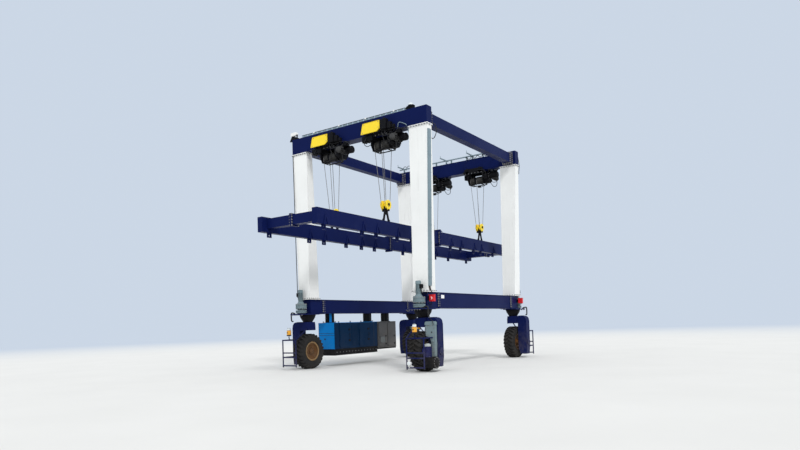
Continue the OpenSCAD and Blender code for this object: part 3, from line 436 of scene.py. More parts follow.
def piece(name, data, finish, body, bevel=0.0, angle=35):
    """Puts a mesh into the scene as a finished piece that rides on a body."""
    data.materials.clear()
    data.materials.append(MATERIALS[finish])
    data.polygons.foreach_set("use_smooth", [True] * len(data.polygons))
    data.set_sharp_from_angle(angle=math.radians(angle))
    made = linked(name, data)
    if bevel:
        modifier = made.modifiers.new("soft_edges", "BEVEL")
        modifier.width = bevel
        modifier.segments = 2
        modifier.limit_method = "ANGLE"
        modifier.angle_limit = math.radians(angle)
    if body:
        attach(made, body)
    return made


def smooth_path(points, steps=6):
    """A smooth curve through chosen points."""
    points = [Vector(p) for p in points]
    ends = [2 * points[0] - points[1], *points, 2 * points[-1] - points[-2]]
    path = []
    for i in range(1, len(ends) - 2):
        before, a, b, after = ends[i - 1:i + 3]
        for step in range(steps):
            t = step / steps
            path.append(0.5 * (2 * a + (b - before) * t + (2 * before - 5 * a + 4 * b - after) * t * t
                               + (3 * a - before - 3 * b + after) * t ** 3))
    return path + [points[-1]]


# Geometry Nodes

def geometry_tree(name, inputs):
    """A geometry tree with named inputs, and its input and output nodes."""
    tree = bpy.data.node_groups.new(name, "GeometryNodeTree")
    socket(tree, "INPUT", "Geometry", "Geometry")
    for label, kind, value in inputs:
        socket(tree, "INPUT", label, kind, value)
    socket(tree, "OUTPUT", "Geometry", "Geometry")
    return tree, tree.nodes.new("NodeGroupInput"), tree.nodes.new("NodeGroupOutput")


def end_tree(tree, given, result, shape):
    real = put(tree, "GeometryNodeRealizeInstances", {"Geometry": shape})
    last = put(tree, "GeometryNodeSetMaterial", {"Geometry": real.outputs[0],
                                                 "Material": given.outputs["Material"]})
    tree.links.new(last.outputs[0], result.inputs[0])
    return tree


def bolt_tree():
    """A washer, a hexagon head and a stud's tip on each point, turned to face its facing."""
    tree, given, result = geometry_tree("bolts", [("Radius", "Float", 0.016), ("Material", "Material", None)])
    radius = given.outputs["Radius"]
    parts = []
    for sides, width, low, high in ((16, 1.55, 0.0, 0.22), (6, 1.15, 0.22, 0.95), (10, 0.62, 0.95, 1.35)):
        depth = math_node(tree, "MULTIPLY", radius, high - low)
        solid = put(tree, "GeometryNodeMeshCylinder",
                    {"Vertices": sides, "Radius": math_node(tree, "MULTIPLY", radius, width), "Depth": depth})
        lift = put(tree, "ShaderNodeCombineXYZ", {"Z": math_node(tree, "MULTIPLY", radius, (low + high) / 2)})
        parts.append(put(tree, "GeometryNodeTransform",
                         {"Geometry": solid.outputs["Mesh"], "Translation": lift.outputs[0]}).outputs[0])
    joined = put(tree, "GeometryNodeJoinGeometry")
    for part in parts:
        tree.links.new(part, joined.inputs[0])
    facing = put(tree, "GeometryNodeInputNamedAttribute", {"Name": "facing"}, data_type="FLOAT_VECTOR")
    turn = put(tree, "FunctionNodeAlignRotationToVector", {"Vector": facing.outputs[0]}, axis="Z")
    copies = put(tree, "GeometryNodeInstanceOnPoints",
                 {"Points": given.outputs["Geometry"], "Instance": joined.outputs[0],
                  "Rotation": turn.outputs[0]})
    return end_tree(tree, given, result, copies.outputs[0])


def grow(name, data, tree, values, finish, body, angle=35):
    """Runs a geometry tree on a mesh and keeps its result as a plain piece."""
    holder = linked(name + "_holder", data)
    modifier = holder.modifiers.new("grow", "NODES")
    modifier.node_group = tree
    values = {"Material": MATERIALS[finish], **values}
    for item in tree.interface.items_tree:
        if item.in_out == "INPUT" and item.name in values:
            modifier[item.identifier] = values[item.name]
    grown = bpy.data.meshes.new_from_object(holder.evaluated_get(bpy.context.evaluated_depsgraph_get()))
    grown.name = name
    bpy.data.objects.remove(holder)
    return piece(name, grown, finish, body, angle=angle)


def bolts(name, points, body, radius=0.014, finish="bolt_zinc"):
    """Bolts at (place, facing) pairs."""
    data = bpy.data.meshes.new(name)
    data.from_pydata([tuple(place) for place, _ in points], [], [])
    facing = data.attributes.new("facing", "FLOAT_VECTOR", "POINT")
    facing.data.foreach_set("vector", [c for _, direction in points for c in direction])
    return grow(name, data, once("bolts", bolt_tree), {"Radius": radius}, finish, body)


def bolt_ring(centre, axis, radius, count, start=0.0):
    """Places of bolts on a circle round an axis."""
    axis = Vector(axis).normalized()
    across = axis.orthogonal().normalized()
    other = axis.cross(across)
    return [(Vector(centre) + radius * (math.cos(a) * across + math.sin(a) * other), axis)
            for a in circle(count, start)]


def bolt_frame(low, high, count_u, count_v, axis, facing):
    """Places of bolts round the edge of a rectangular plate that lies at right angles to an axis."""
    flat = [i for i in range(3) if i != axis]
    low, high = Vector(low), Vector(high)
    found = []
    for i in range(count_u):
        for j in range(count_v):
            if 0 < i < count_u - 1 and 0 < j < count_v - 1:
                continue
            place = low.copy()
            for index, share in zip(flat, (i / (count_u - 1), j / (count_v - 1))):
                place[index] = low[index] + share * (high[index] - low[index])
            found.append((place, facing))
    return found


# Finishes

def make_finishes():
    paint = bpy.context.scene.carrier_paint
    # A blue tint on the dark paints' reflections: a painted reflection of a blue sky
    painted_sky_reflection = (0.45, 0.62, 1.0)
    painted("white_paint", paint.white, 0.30, dust=0.25, streak=0.22, patch=0.05, chips=0.35, dust_top=4.0,
            under=(0.35, 0.30, 0.26))
    painted("navy_paint", paint.navy, 0.34, dust=0.16, streak=0.05, patch=0.10, chips=0.35, shine=0.06,
            tint=painted_sky_reflection)
    painted("bogie_paint", paint.navy, 0.38, dust=0.20, streak=0.06, chips=0.6, shine=0.06, tint=painted_sky_reflection)
    painted("yellow_paint", paint.yellow, 0.34, dust=0.1, streak=0.18, patch=0.05)
    # The dish's finish is darker than the ring's: painted shade of the recess on one rim paint
    painted("rim_paint", paint.rim, 0.48, dust=0.15, streak=0.1, patch=0.30, chips=0.8, dust_top=2.4,
            scale=6.0)
    painted("ring_paint", paint.rim_ring, 0.45, dust=0.25, streak=0.1, patch=0.2, chips=0.6, dust_top=2.4,
            scale=6.0)
    # Galvanised grey tinted light blue: a painted sky sheen on the tray and its clips
    painted("tray_zinc", (0.40, 0.50, 0.63), 0.35, dust=0.1, streak=0.1, chips=0.0)
    painted("black_paint", paint.black, 0.45, dust=0.06, streak=0.02, chips=0.2, under=(0.10, 0.085, 0.07),
            shine=0.1)
    painted("gear_grey", paint.gear, 0.42, dust=0.35, streak=0.35, patch=0.16, scale=4.0)
    painted("motor_grey", (0.42, 0.46, 0.46), 0.42, dust=0.3, streak=0.3, patch=0.14, scale=5.0)
    painted("motor_navy", (0.008, 0.012, 0.11), 0.38, dust=0.2, streak=0.08, shine=0.25, tint=painted_sky_reflection)
    painted("duct_grey", (0.20, 0.27, 0.31), 0.40, dust=0.2, streak=0.2, chips=0.2)
    painted("pack_blue", paint.pack, 0.33, dust=0.06, streak=0.04, patch=0.06, chips=0.4, shine=0.12,
            tint=painted_sky_reflection)
    # Painted shade: a darker copy of the pack's blue for the canopy's inner long face, doors and louvres
    painted("pack_blue_painted_shade", paint.pack_side_painted_shade, 0.40, dust=0.06, streak=0.04, patch=0.10, chips=0.3, shine=0.06,
            tint=painted_sky_reflection)
    painted("cabinet_grey", paint.cabinet, 0.42, dust=0.4, streak=0.12, patch=0.08)
    painted("red_plastic", paint.red, 0.35, dust=0.1, streak=0.12, chips=0.0)
    painted("engine_iron", (0.05, 0.05, 0.05), 0.6, chips=0.2)
    plain_metal("bolt_zinc", (0.33, 0.33, 0.34), 0.45, 0.5)
    plain_metal("rope_steel", (0.22, 0.21, 0.20), 0.5, 0.7)
    plain_metal("greased_rope", (0.045, 0.043, 0.040), 0.6, 0.3)
    rubbery("cable_black", (0.014, 0.014, 0.015), 0.45, 60.0, 0.1)
    rubbery("tyre", paint.rubber, 0.75, 26.0, 0.25)
    lens("amber_lens", paint.amber)
    lens("clear_lens", (0.80, 0.86, 0.88))
    lens("dark_lens", (0.05, 0.06, 0.06))


def plain_metal(name, colour, roughness, metallic):
    """Bare or plated steel with tarnish."""
    tree, shader = new_material(name)
    grime = place_group(tree, "grime", patch_scale=7.0, streak_scale=20.0, dust_top=1.2)
    tone = mixed(tree, math_node(tree, "MULTIPLY", grime["Patches"], 0.6), colour,
                 tuple(0.45 * c * k for c, k in zip(colour, (1.0, 0.9, 0.8))))
    tone = mixed(tree, math_node(tree, "MULTIPLY", grime["Dust"], 0.4), tone, (0.25, 0.21, 0.17))
    tree.links.new(tone, shader.inputs["Base Color"])
    tree.links.new(math_node(tree, "ADD", math_node(tree, "MULTIPLY", grime["Patches"], 0.25), roughness,
                             True),
                   shader.inputs["Roughness"])
    shader.inputs["Metallic"].default_value = metallic


def rubbery(name, colour, roughness, grain, dust):
    """Rubber or sheath with a fine grain and dry dust on it."""
    tree, shader = new_material(name)
    place = put(tree, "ShaderNodeTexCoord").outputs["Object"]
    grime = place_group(tree, "grime", patch_scale=5.0, dust_top=1.9)
    colour = tuple(colour)
    dirt = tuple(bpy.context.scene.carrier_paint.dust)
    tone = mixed(tree, math_node(tree, "MULTIPLY", grime["Patches"], 0.5), colour,
                 tuple(1.7 * c for c in colour))
    tone = mixed(tree, math_node(tree, "MULTIPLY", grime["Dust"], 0.30 * dust), tone, dirt)
    tree.links.new(tone, shader.inputs["Base Color"])
    tree.links.new(math_node(tree, "ADD", math_node(tree, "MULTIPLY", grime["Dust"], 0.2), roughness, True),
                   shader.inputs["Roughness"])
    bump = put(tree, "ShaderNodeBump", {"Height": noise(tree, place, grain, 8.0, 0.7), "Strength": 0.35,
                                        "Distance": 0.003})
    tree.links.new(bump.outputs[0], shader.inputs["Normal"])
    shader.inputs["Specular IOR Level"].default_value = 0.25


def lens(name, colour):
    """Moulded lens plastic, glossy and slightly uneven."""
    tree, shader = new_material(name)
    place = put(tree, "ShaderNodeTexCoord").outputs["Object"]
    cells = put(tree, "ShaderNodeTexVoronoi", {"Vector": place, "Scale": 90.0}).outputs["Distance"]
    colour = tuple(colour)
    tone = mixed(tree, math_node(tree, "MULTIPLY", cells, 0.8), colour, tuple(0.72 * c for c in colour))
    tree.links.new(tone, shader.inputs["Base Color"])
    bump = put(tree, "ShaderNodeBump", {"Height": cells, "Strength": 0.4, "Distance": 0.002})
    tree.links.new(bump.outputs[0], shader.inputs["Normal"])
    shader.inputs["Roughness"].default_value = 0.15
    shader.inputs["Coat Weight"].default_value = 0.5


# CAD nodes with another finish than their slot's, by how their names start; the canopy and its doors take the
# pack's blue with painted shade on it
NODE_FINISH = {"fork_": "bogie_paint", "guard_": "bogie_paint", "pack_door_": "pack_blue_painted_shade",
               "pack_canopy": "pack_blue_painted_shade"}


class CARRIER_OT_finishes(bpy.types.Operator):
    """Makes the finishes and gives each CAD node its own"""
    bl_idname = "carrier.finishes"
    bl_label = "Finishes"

    def execute(self, context):
        make_finishes()
        slots = {part["node"]: part["material_slot"] for part in frame["record"]["subparts"]}
        for name, node in frame["nodes"].items():
            finish = next((f for start, f in NODE_FINISH.items() if name.startswith(start)), slots[name])
            node.data.materials.clear()
            node.data.materials.append(MATERIALS[finish])
        return {"FINISHED"}


def box_of(node):
    """Lower and upper corner of a node."""
    low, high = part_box(node)
    return Vector(low), Vector(high)


# Sizes that the frame's nodes give
LEG_LOW, LEG_HIGH = box_of("leg_right_rear")
GIRDER_LOW, GIRDER_HIGH = box_of("girder_rear")
BEAM_LOW, BEAM_HIGH = box_of("bottom_beam_right")
TYRE_LOW, TYRE_HIGH = box_of("tyre_right_rear")
TIE_LOW, TIE_HIGH = box_of("tie_beam_right")
SPREADER_LOW, SPREADER_HIGH = box_of("spreader_beam_right")
PACK_LOW, PACK_HIGH = box_of("pack_canopy")
CABINET_LOW, CABINET_HIGH = box_of("cabinet")
TYRE_R = (TYRE_HIGH.z - TYRE_LOW.z) / 2
TYRE_HALF = (TYRE_HIGH.x - TYRE_LOW.x) / 2
GIRDER_Y = (GIRDER_LOW.y + GIRDER_HIGH.y) / 2 - PORTAL_Y
GIRDER_Z = LEG_HIGH.z
GIRDER_TOP = GIRDER_HIGH.z
SPREADER_X = (SPREADER_LOW.x + SPREADER_HIGH.x) / 2
BEAM_X = (BEAM_LOW.x + BEAM_HIGH.x) / 2
# The drums' axes lie this far under the girders
DRUM_Z = GIRDER_Z - 0.400
DRUM_R = 0.1735
BLOCK_LOW, BLOCK_HIGH = box_of("hook_blocks")
BLOCK_Z = (BLOCK_LOW.z + BLOCK_HIGH.z) / 2
# Where the ropes' middle is, as a share of a hoist's length from its left end
ROPES_SHARE = 0.391
# A leg's inner face inside its flanges, and its width and half depth at the top and at the foot
LEG_INNER = LEG_LOW.x + 0.030
LEG_TOP, LEG_FOOT = (0.735, 0.1475), (0.552, 0.275)
# From a door's box to its outer skin
DOOR_THICK = 0.0285


def leg_section(z):
    """Width and half depth of a leg at a height."""
    share = (LEG_HIGH.z - z) / (LEG_HIGH.z - LEG_LOW.z)
    return [top + (foot - top) * share for top, foot in zip(LEG_TOP, LEG_FOOT)]


def wheel_middle(corner):
    return WHEEL[corner].x, WHEEL[corner].y, TYRE_R


def hoist_middle(corner):
    """Where the ropes' middle of one hoist is, across the machine."""
    low, high = box_of("hoist_" + corner)
    return low.x + (high.x - low.x) * ROPES_SHARE


def at_hoist(corner):
    """Places what is drawn with X along the girder, from a hoist's middle, and Y outwards from the girder."""
    place = (hoist_middle(corner), PORTAL_Y + end_of(corner) * GIRDER_Y, 0)
    return Matrix.Translation(place) @ Matrix.Diagonal((1, end_of(corner), 1, 1))


def moved(place, points):
    """Bolts' (place, facing) pairs taken through a placement."""
    turn = place.to_3x3()
    return [(place @ Vector(at), (turn @ Vector(facing)).normalized()) for at, facing in points]


def row(start, end, count, facing):
    """Bolts in a straight row."""
    start, end = Vector(start), Vector(end)
    return [(start.lerp(end, i / (count - 1)), facing) for i in range(count)]


def turned_copies_tree():
    """Copies an object about the X axis at each point, by the point's turn."""
    tree, given, result = geometry_tree("turned_copies", [("Lug", "Object", None),
                                                          ("Material", "Material", None)])
    turn = put(tree, "GeometryNodeInputNamedAttribute", {"Name": "turn"}, data_type="FLOAT")
    euler = put(tree, "ShaderNodeCombineXYZ", {"X": turn.outputs[0]})
    lug = put(tree, "GeometryNodeObjectInfo", {"Object": given.outputs["Lug"]})
    copies = put(tree, "GeometryNodeInstanceOnPoints",
                 {"Points": given.outputs["Geometry"], "Instance": lug.outputs["Geometry"],
                  "Rotation": euler.outputs[0]})
    return end_tree(tree, given, result, copies.outputs[0])


class CARRIER_OT_tyres(bpy.types.Operator):
    """Builds the tyres: bulging casings with moulded rings, and a chevron tread of deep lugs"""
    bl_idname = "carrier.tyres"
    bl_label = "Tyres"

    def execute(self, context):
        settings = context.scene.carrier_tyres
        for corner in CORNERS:
            self.casing(corner, settings)
            self.tread(corner, settings)
        return {"FINISHED"}

    def casing(self, corner, settings):
        half, crown = TYRE_HALF, TYRE_R - settings.depth
        wall = [(0.322, half - 0.050), (0.352, half - 0.030), (0.372, half - 0.018), (0.395, half - 0.013),
                (0.404, half - 0.004), (0.412, half - 0.009), (0.450, half - 0.001), (0.500, half),
                (0.545, half - 0.003), (0.556, half + 0.002), (0.566, half - 0.006), (0.600, half - 0.018),
                (0.628, half - 0.040), (crown - 0.002, half - 0.075), (crown, half - 0.13)]
        side = [(p.x, p.y) for p in smooth_path([(r, x, 0) for r, x in wall], 2)]
        section = side + [(r, -x) for r, x in reversed(side)]
        shape = Shape()
        shape.ring_of(section, wheel_middle(corner), (1, 0, 0), 64)
        casing = shape.done("tyre_casing_" + corner, "tyre", "wheel_" + corner, "tyre", angle=50)
        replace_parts(casing, "tyre_" + corner)

    def tread(self, corner, settings):
        lug = self.lug_pair(settings, corner)
        data = bpy.data.meshes.new("tread_points")
        data.from_pydata([wheel_middle(corner)] * settings.lugs, [], [])
        turn = data.attributes.new("turn", "FLOAT", "POINT")
        turn.data.foreach_set("value", circle(settings.lugs))
        grow("tread_" + corner, data, once("turned_copies", turned_copies_tree), {"Lug": lug}, "tyre",
             "wheel_" + corner, angle=28)
        bpy.data.objects.remove(lug)

    def lug_pair(self, settings, corner):
        """One lug on each half of the tread, half a pitch apart, bent round the casing."""
        shape = Shape()
        pitch = 2 * math.pi / settings.lugs
        stations = 9
        for half in (1, -1):
            loops = []
            for i in range(stations):
                share = i / (stations - 1)
                across = -0.004 + share * (TYRE_HALF + 0.004)
                along = settings.sweep * (share ** 0.8) / TYRE_R + (0 if half > 0 else pitch / 2)
                over = max(0.0, share - 0.80) / 0.20
                top = TYRE_R - 0.060 * over ** 1.7
                base = TYRE_R - settings.depth - 0.006 - 0.060 * over ** 1.3
                wide = 0.034 + 0.012 * share
                tip = wide - 0.008
                loop = []
                for radius, width in ((base, -wide), (top, -tip), (top, tip), (base, wide)):
                    angle = along + width / radius
                    loop.append((half * across, radius * math.cos(angle), radius * math.sin(angle)))
                loops.append(loop)
            shape.rings(loops)
        return linked("lug_pair_" + corner, shape.data("lug_pair"))


class CARRIER_OT_rims(bpy.types.Operator):
    """Adds the wheels' dished discs, outer rings, hub caps and nuts"""
    bl_idname = "carrier.rims"
    bl_label = "Wheel discs"

    def execute(self, context):
        for corner in CORNERS:
            # Drawn from the wheel's middle, with X outwards; the dish faces the portal's middle
            place = at_wheel(corner) @ Matrix.Translation((0, 0, TYRE_R))
            disc = Shape(place)
            disc.ring_of([(0.312, -0.150), (0.312, -0.128), (0.262, -0.092), (0.205, -0.086), (0.175, -0.098),
                          (0.090, -0.098), (0.090, -0.118), (0.180, -0.118), (0.212, -0.104), (0.258, -0.110),
                          (0.304, -0.146)], (0, 0, 0), (1, 0, 0), 48)
            ring = Shape(place)
            ring.ring_of([(0.3185, -0.200), (0.365, -0.214), (0.372, -0.206), (0.370, -0.198),
                          (0.330, -0.186), (0.3185, -0.168)], (0, 0, 0), (1, 0, 0), 64)
            ring.done("rim_ring_" + corner, "ring_paint", "wheel_" + corner, "rim_paint", angle=40)
            disc.done("wheel_dish_" + corner, "rim_paint", "wheel_" + corner, "rim_paint", angle=40)
            cap = Shape(place)
            cap.lathe([(0.100, 0), (0.100, 0.055), (0.092, 0.066), (0.060, 0.074)], (-0.100, 0, 0),
                      (-1, 0, 0), 32)
            cap.lathe([(0.018, 0), (0.018, 0.05), (0.010, 0.055)], (-0.165, 0, 0), (-1, 0, 0), 12)
            cap.done("hub_cap_" + corner, "rim_paint", "wheel_" + corner, "rim_paint", 0.003)
            nuts = bolt_ring((-0.118, 0, 0), (-1, 0, 0), 0.146, 10, 0.2)
            bolts("wheel_nuts_" + corner, moved(place, nuts), "wheel_" + corner, 0.015, "rim_paint")
        return {"FINISHED"}


class CARRIER_OT_bolts(bpy.types.Operator):
    """Adds the bolts of the portal's, the bogies' and the spreader's joints"""
    bl_idname = "carrier.bolts"
    bl_label = "Bolts"

    def execute(self, context):
        portal = []
        for corner in CORNERS:
            place = at_portal(corner)
            portal += moved(place, self.leg_ends() + self.tie_joint() + self.beam_joint() + self.steering())
            # Round the axle's boss
            cheek = box_of("fork_" + corner)
            out = max(abs(cheek[0].x - WHEEL[corner].x), abs(cheek[1].x - WHEEL[corner].x))
            bogie = bolt_ring((out, 0, TYRE_R), (1, 0, 0), 0.10, 8, 0.39)
            bolts("bogie_bolts_" + corner, moved(at_wheel(corner), bogie), "bogie_" + corner, 0.014)
        bolts("portal_bolts", portal, "frame", 0.022, "bolt_zinc")
        bolts("spreader_bolts", self.spreader(), "spreader", 0.020, "bolt_zinc")
        return {"FINISHED"}

    def leg_ends(self):
        """Rows under a leg's top flange and over its foot flange."""
        found = []
        top = (GIRDER_Z - 0.030, LEG_TOP[0], GIRDER_Y - LEG_TOP[1], GIRDER_Y + LEG_TOP[1], -1)
        foot = (LEG_LOW.z + 0.030, LEG_FOOT[0], 3.295, 3.845, 1)
        for z, wide, near, far, facing in (top, foot):
            low = Vector((LEG_INNER - 0.016, near - 0.016, z))
            high = Vector((LEG_INNER + wide + 0.016, far + 0.016, z))
            across = int(wide / 0.085)
            along = max(3, int((far - near) / 0.09))
            found += bolt_frame(low, high, across, along, 2, (0, 0, facing))
        return found

    def tie_joint(self):
        """Round the splice plates of a tie beam."""
        found = []
        x0, x1 = TIE_LOW.x + 0.018, TIE_HIGH.x - 0.018
        for y in (TIE_HIGH.y - PORTAL_Y - 0.030, TIE_HIGH.y - PORTAL_Y - 0.230):
            low, high = Vector((x0, y, TIE_LOW.z + 0.018)), Vector((x1, y, TIE_HIGH.z - 0.018))
            found += bolt_frame(low, high, 5, 6, 1, (0, -1, 0))
            if y < TIE_HIGH.y - PORTAL_Y - 0.1:
                low.y = high.y = y + 0.030
                found += bolt_frame(low, high, 5, 6, 1, (0, 1, 0))
        return found

    def beam_joint(self):
        """On both faces of a bottom beam's splice."""
        found = []
        for face, side in PAIRS:
            x, y = BEAM_X + side * 0.236, 3.0 + face * 0.030
            found += row((x, y, 2.20), (x, y, 2.60), 6, (0, face, 0))
        return found

    def steering(self):
        """Round the steering gearboxes' upper discs and under the steering plates."""
        high = box_of("steering_drives")[1]
        x, y = high.x - 0.210, high.y - PORTAL_Y - 0.210
        found = bolt_ring((x, y, 2.480), (0, 0, 1), 0.186, 12)
        found += bolt_ring((x, y, 2.300), (0, 0, 1), 0.186, 12, 0.2)
        found += row((BEAM_X - 0.26, 4.28, 2.080), (BEAM_X + 0.26, 4.28, 2.080), 6, (0, 0, -1))
        return found

    def spreader(self):
        """Round the long beams' splice plates and the cross beams' joints."""
        found = []
        for side in (-1, 1):
            for face, edge in PAIRS:
                x, y = side * SPREADER_X + edge * 0.115, face * 0.040
                found += row((x, y, 4.80), (x, y, 5.23), 7, (0, face, 0))
        for middle in (-6.9, 6.9):
            for face, edge in PAIRS:
                x, y = face * 0.040, middle + edge * 0.150
                found += row((x, y, 4.88), (x, y, 5.23), 5, (face, 0, 0))
        return found


def groove_profile(length, pitch, outer, inner):
    """Profile of a drum wound with rope: (radius, distance) from one end to the other."""
    count = int(length / pitch)
    points = [(inner, 0)]
    for i in range(count):
        start = i * pitch
        points += [(inner, start + 0.1 * pitch), (outer, start + 0.35 * pitch), (outer, start + 0.65 * pitch),
                   (inner, start + 0.9 * pitch)]
    return points + [(inner, length)]


class CARRIER_OT_hoists(bpy.types.Operator):
    """Dresses the hoists: wound drums, motors, brakes, control boxes, cables and the covers' edges"""
    bl_idname = "carrier.hoists"
    bl_label = "Hoists"

    def execute(self, context):
        for corner in CORNERS:
            place = at_hoist(corner)
            self.winding(corner, place)
            self.machinery(corner, place)
            self.motors(corner, place)
            self.cables(corner, place)
            self.cover(corner, place)
            self.fasteners(corner, place)
        return {"FINISHED"}

    def winding(self, corner, place):
        shape = Shape(place)
        for start, length in ((-0.238, 0.20), (0.07, 0.318)):
            shape.lathe(groove_profile(length, 0.018, DRUM_R, 0.1665), (start, 0, DRUM_Z), (1, 0, 0), 32)
        shape.done("wound_rope_" + corner, "greased_rope", "hoists", "rope_steel", angle=60)

    def machinery(self, corner, place):
        """Black pieces: wheel caps, rope guide, brake housings, control boxes, drum's frame, buffers."""
        shape = Shape(place)
        for x in (-0.32, 0.32):
            for side, near, far in ((-1, -0.275, -0.285), (1, 0.235, 0.309)):
                shape.lathe([(0.060, 0), (0.060, 0.018), (0.045, 0.026)], (x, side * 0.285, 8.505),
                            (0, side, 0), 20)
                shape.block((x - 0.085, near, 8.33), (x + 0.085, far, 8.42))
        # Rope guide hanging from the trolley on the outer side, with its rollers
        shape.block((-0.66, 0.29, 8.19), (-0.20, 0.325, 8.36))
        for x in (-0.58, -0.44, -0.30):
            shape.lathe([(0.022, 0), (0.022, 0.165)], (x, 0.135, 8.165), (0, 1, 0), 12)
        # Brake and encoder housings around the gearbox
        shape.lathe([(0.095, 0), (0.095, 0.10), (0.075, 0.13), (0.040, 0.14)], (0.57, 0.165, 7.98),
                    (0, 1, 0), 24)
        shape.block((0.50, 0.165, 8.16), (0.66, 0.28, 8.33))
        shape.block((0.49, -0.26, 7.99), (0.65, -0.165, 8.20))
        shape.block((0.72, 0.10, 8.26), (0.95, 0.24, 8.37))
        # Control boxes and their hangers beside the yellow cover, in front of the girder
        for x0, x1, y1, z0, z1 in ((0.235, 0.490, 0.440, 8.440, 8.800), (0.500, 0.660, 0.400, 8.440, 8.665),
                                   (0.670, 0.790, 0.360, 8.440, 8.560)):
            shape.block((x0, 0.270, z0), (x1, y1, z1))
            shape.block((x0 + 0.015, y1, z0 + 0.015), (x1 - 0.015, y1 + 0.008, z1 - 0.015))
            shape.block((x0 + 0.02, 0.255, z0 - 0.09), (x1 - 0.02, 0.285, z0 + 0.02))
        for x in (0.28, 0.34, 0.40, 0.545, 0.61):
            shape.lathe([(0.015, 0), (0.015, 0.02), (0.009, 0.03)], (x, 0.36, 8.440), (0, 0, -1), 12)
        shape.lathe([(0.042, 0), (0.042, 0.05), (0.030, 0.058)], (0.36, 0.35, 8.800), (0, 0, 1), 20)
        # Frame under the drum that carries the rope's limit switch
        for y in (-0.20, 0.20):
            shape.block((-0.28, y - 0.012, 7.80), (0.44, y + 0.012, 7.835))
        shape.block((-0.15, -0.20, 7.80), (-0.10, 0.20, 7.825))
        shape.block((0.28, -0.20, 7.80), (0.33, 0.20, 7.825))
        shape.block((-0.03, 0.17, 7.74), (0.10, 0.27, 7.835))
        # Travel rails' end buffers
        for x, way in ((-0.46, -1), (0.46, 1)):
            for side in (-1, 1):
                shape.lathe([(0.020, 0), (0.020, 0.02), (0.038, 0.025), (0.038, 0.055), (0.026, 0.065)],
                            (x, side * 0.27, 8.40), (way, 0, 0), 16)
        shape.done("hoist_machinery_" + corner, "black_paint", "hoists", "black_paint", 0.004)

    def motors(self, corner, place):
        """Finned travel motor across the trolley, and the hoist motor's cowl."""
        travel = Shape(place)
        # Fins round the lower half
        fins(travel, (0.78, 0, 8.08), "y", 0.080, 0.106, 14, 0.20, 0.46, 0.008, math.pi / 2,
             math.pi * 14 / 13)
        travel.lathe([(0.092, 0), (0.104, 0.012), (0.104, 0.070), (0.088, 0.095), (0.050, 0.10)],
                     (0.78, 0.44, 8.08), (0, 1, 0), 28)
        travel.block((0.73, 0.24, 8.15), (0.83, 0.40, 8.225))
        travel.done("travel_motor_" + corner, "engine_iron", "hoists", "gear_grey", 0.003)
        cowl = Shape(place)
        cowl.lathe([(0.118, 0), (0.134, 0.010), (0.134, 0.11), (0.118, 0.130), (0.060, 0.134)],
                   (0.945, 0, 8.14), (1, 0, 0), 32)
        cowl.block((0.74, -0.075, 8.25), (0.90, 0.075, 8.325))
        cowl.done("hoist_motor_cowl_" + corner, "black_paint", "hoists", "black_paint", 0.004)

    def cables(self, corner, place):
        """Loops of cable under the machinery, and the leads to the control box."""
        shape = Shape(place)
        loops = [
            [(0.22, 0.30, 8.30), (0.34, 0.36, 8.05), (0.30, 0.34, 7.86), (0.13, 0.30, 7.78),
             (0.02, 0.27, 7.80)],
            [(0.66, 0.30, 8.20), (0.83, 0.36, 7.97), (0.84, 0.33, 7.74), (0.73, 0.26, 7.69),
             (0.62, 0.20, 7.86)],
            [(0.78, 0.52, 8.08), (0.74, 0.57, 7.97), (0.62, 0.44, 7.94), (0.50, 0.33, 8.05),
             (0.47, 0.29, 8.25)],
            [(-0.45, 0.34, 8.30), (-0.52, 0.38, 8.10), (-0.42, 0.36, 7.98), (-0.30, 0.30, 8.02),
             (-0.28, 0.22, 8.12)],
            [(0.94, 0.06, 8.32), (1.02, 0.16, 8.38), (0.80, 0.30, 8.42), (0.45, 0.34, 8.40),
             (0.20, 0.40, 8.45)],
            [(0.58, -0.26, 8.10), (0.62, -0.33, 8.25), (0.50, -0.31, 8.40), (0.20, -0.30, 8.44)],
            [(0.28, 0.36, 8.42), (0.27, 0.38, 8.30), (0.36, 0.37, 8.22), (0.50, 0.33, 8.24),
             (0.56, 0.26, 8.30)],
            [(0.40, 0.36, 8.42), (0.42, 0.40, 8.28), (0.58, 0.40, 8.20), (0.72, 0.34, 8.22),
             (0.80, 0.24, 8.30)],
        ]
        for loop in loops:
            shape.pipe(smooth_path(loop, 6), 0.012, 8)
        shape.done("hoist_cables_" + corner, "cable_black", "hoists", "cable_black", angle=60)

    def cover(self, corner, place):
        """Folded edges round the yellow plate."""
        shape = Shape(place)
        y = 0.450
        outline = [(-0.61, 8.41), (0.09, 8.41), (0.22, 8.505), (0.22, 8.785), (-0.515, 8.785)]
        count = len(outline)
        for i in range(count):
            (ax, az), (bx, bz) = outline[i], outline[(i + 1) % count]
            along = Vector((bx - ax, 0, bz - az)).normalized()
            inward = Vector((-along.z, 0, along.x)) * 0.014
            a, b = Vector((ax, y, az)), Vector((bx, y, bz))
            loops = []
            for point in (a, b):
                loops.append([point, point + inward, point + inward + Vector((0, 0.006, 0)),
                              point + Vector((0, 0.006, 0))])
            shape.rings(loops)
        shape.done("cover_edge_" + corner, "yellow_paint", "hoists", "yellow_paint", 0.0015)

    def fasteners(self, corner, place):
        found = [((x, 0.450, z), (0, 1, 0)) for x, z in ((-0.46, 8.74), (0.17, 8.74), (0.17, 8.54),
                                                         (-0.53, 8.46))]
        for x in (-0.40, -0.24, -0.08, 0.08, 0.24, 0.40):
            found += [((x, 0.285, 8.325), (0, 1, 0)), ((x, -0.285, 8.325), (0, -1, 0))]
        found += bolt_ring((0.680, 0, 8.14), (1, 0, 0), 0.142, 8, 0.3)
        found += [((0.46, y, z), (-1, 0, 0)) for y in (-0.24, 0.24) for z in (8.10, 8.20, 8.30)]
        bolts("hoist_bolts_" + corner, moved(place, found), "hoists", 0.011, "bolt_zinc")


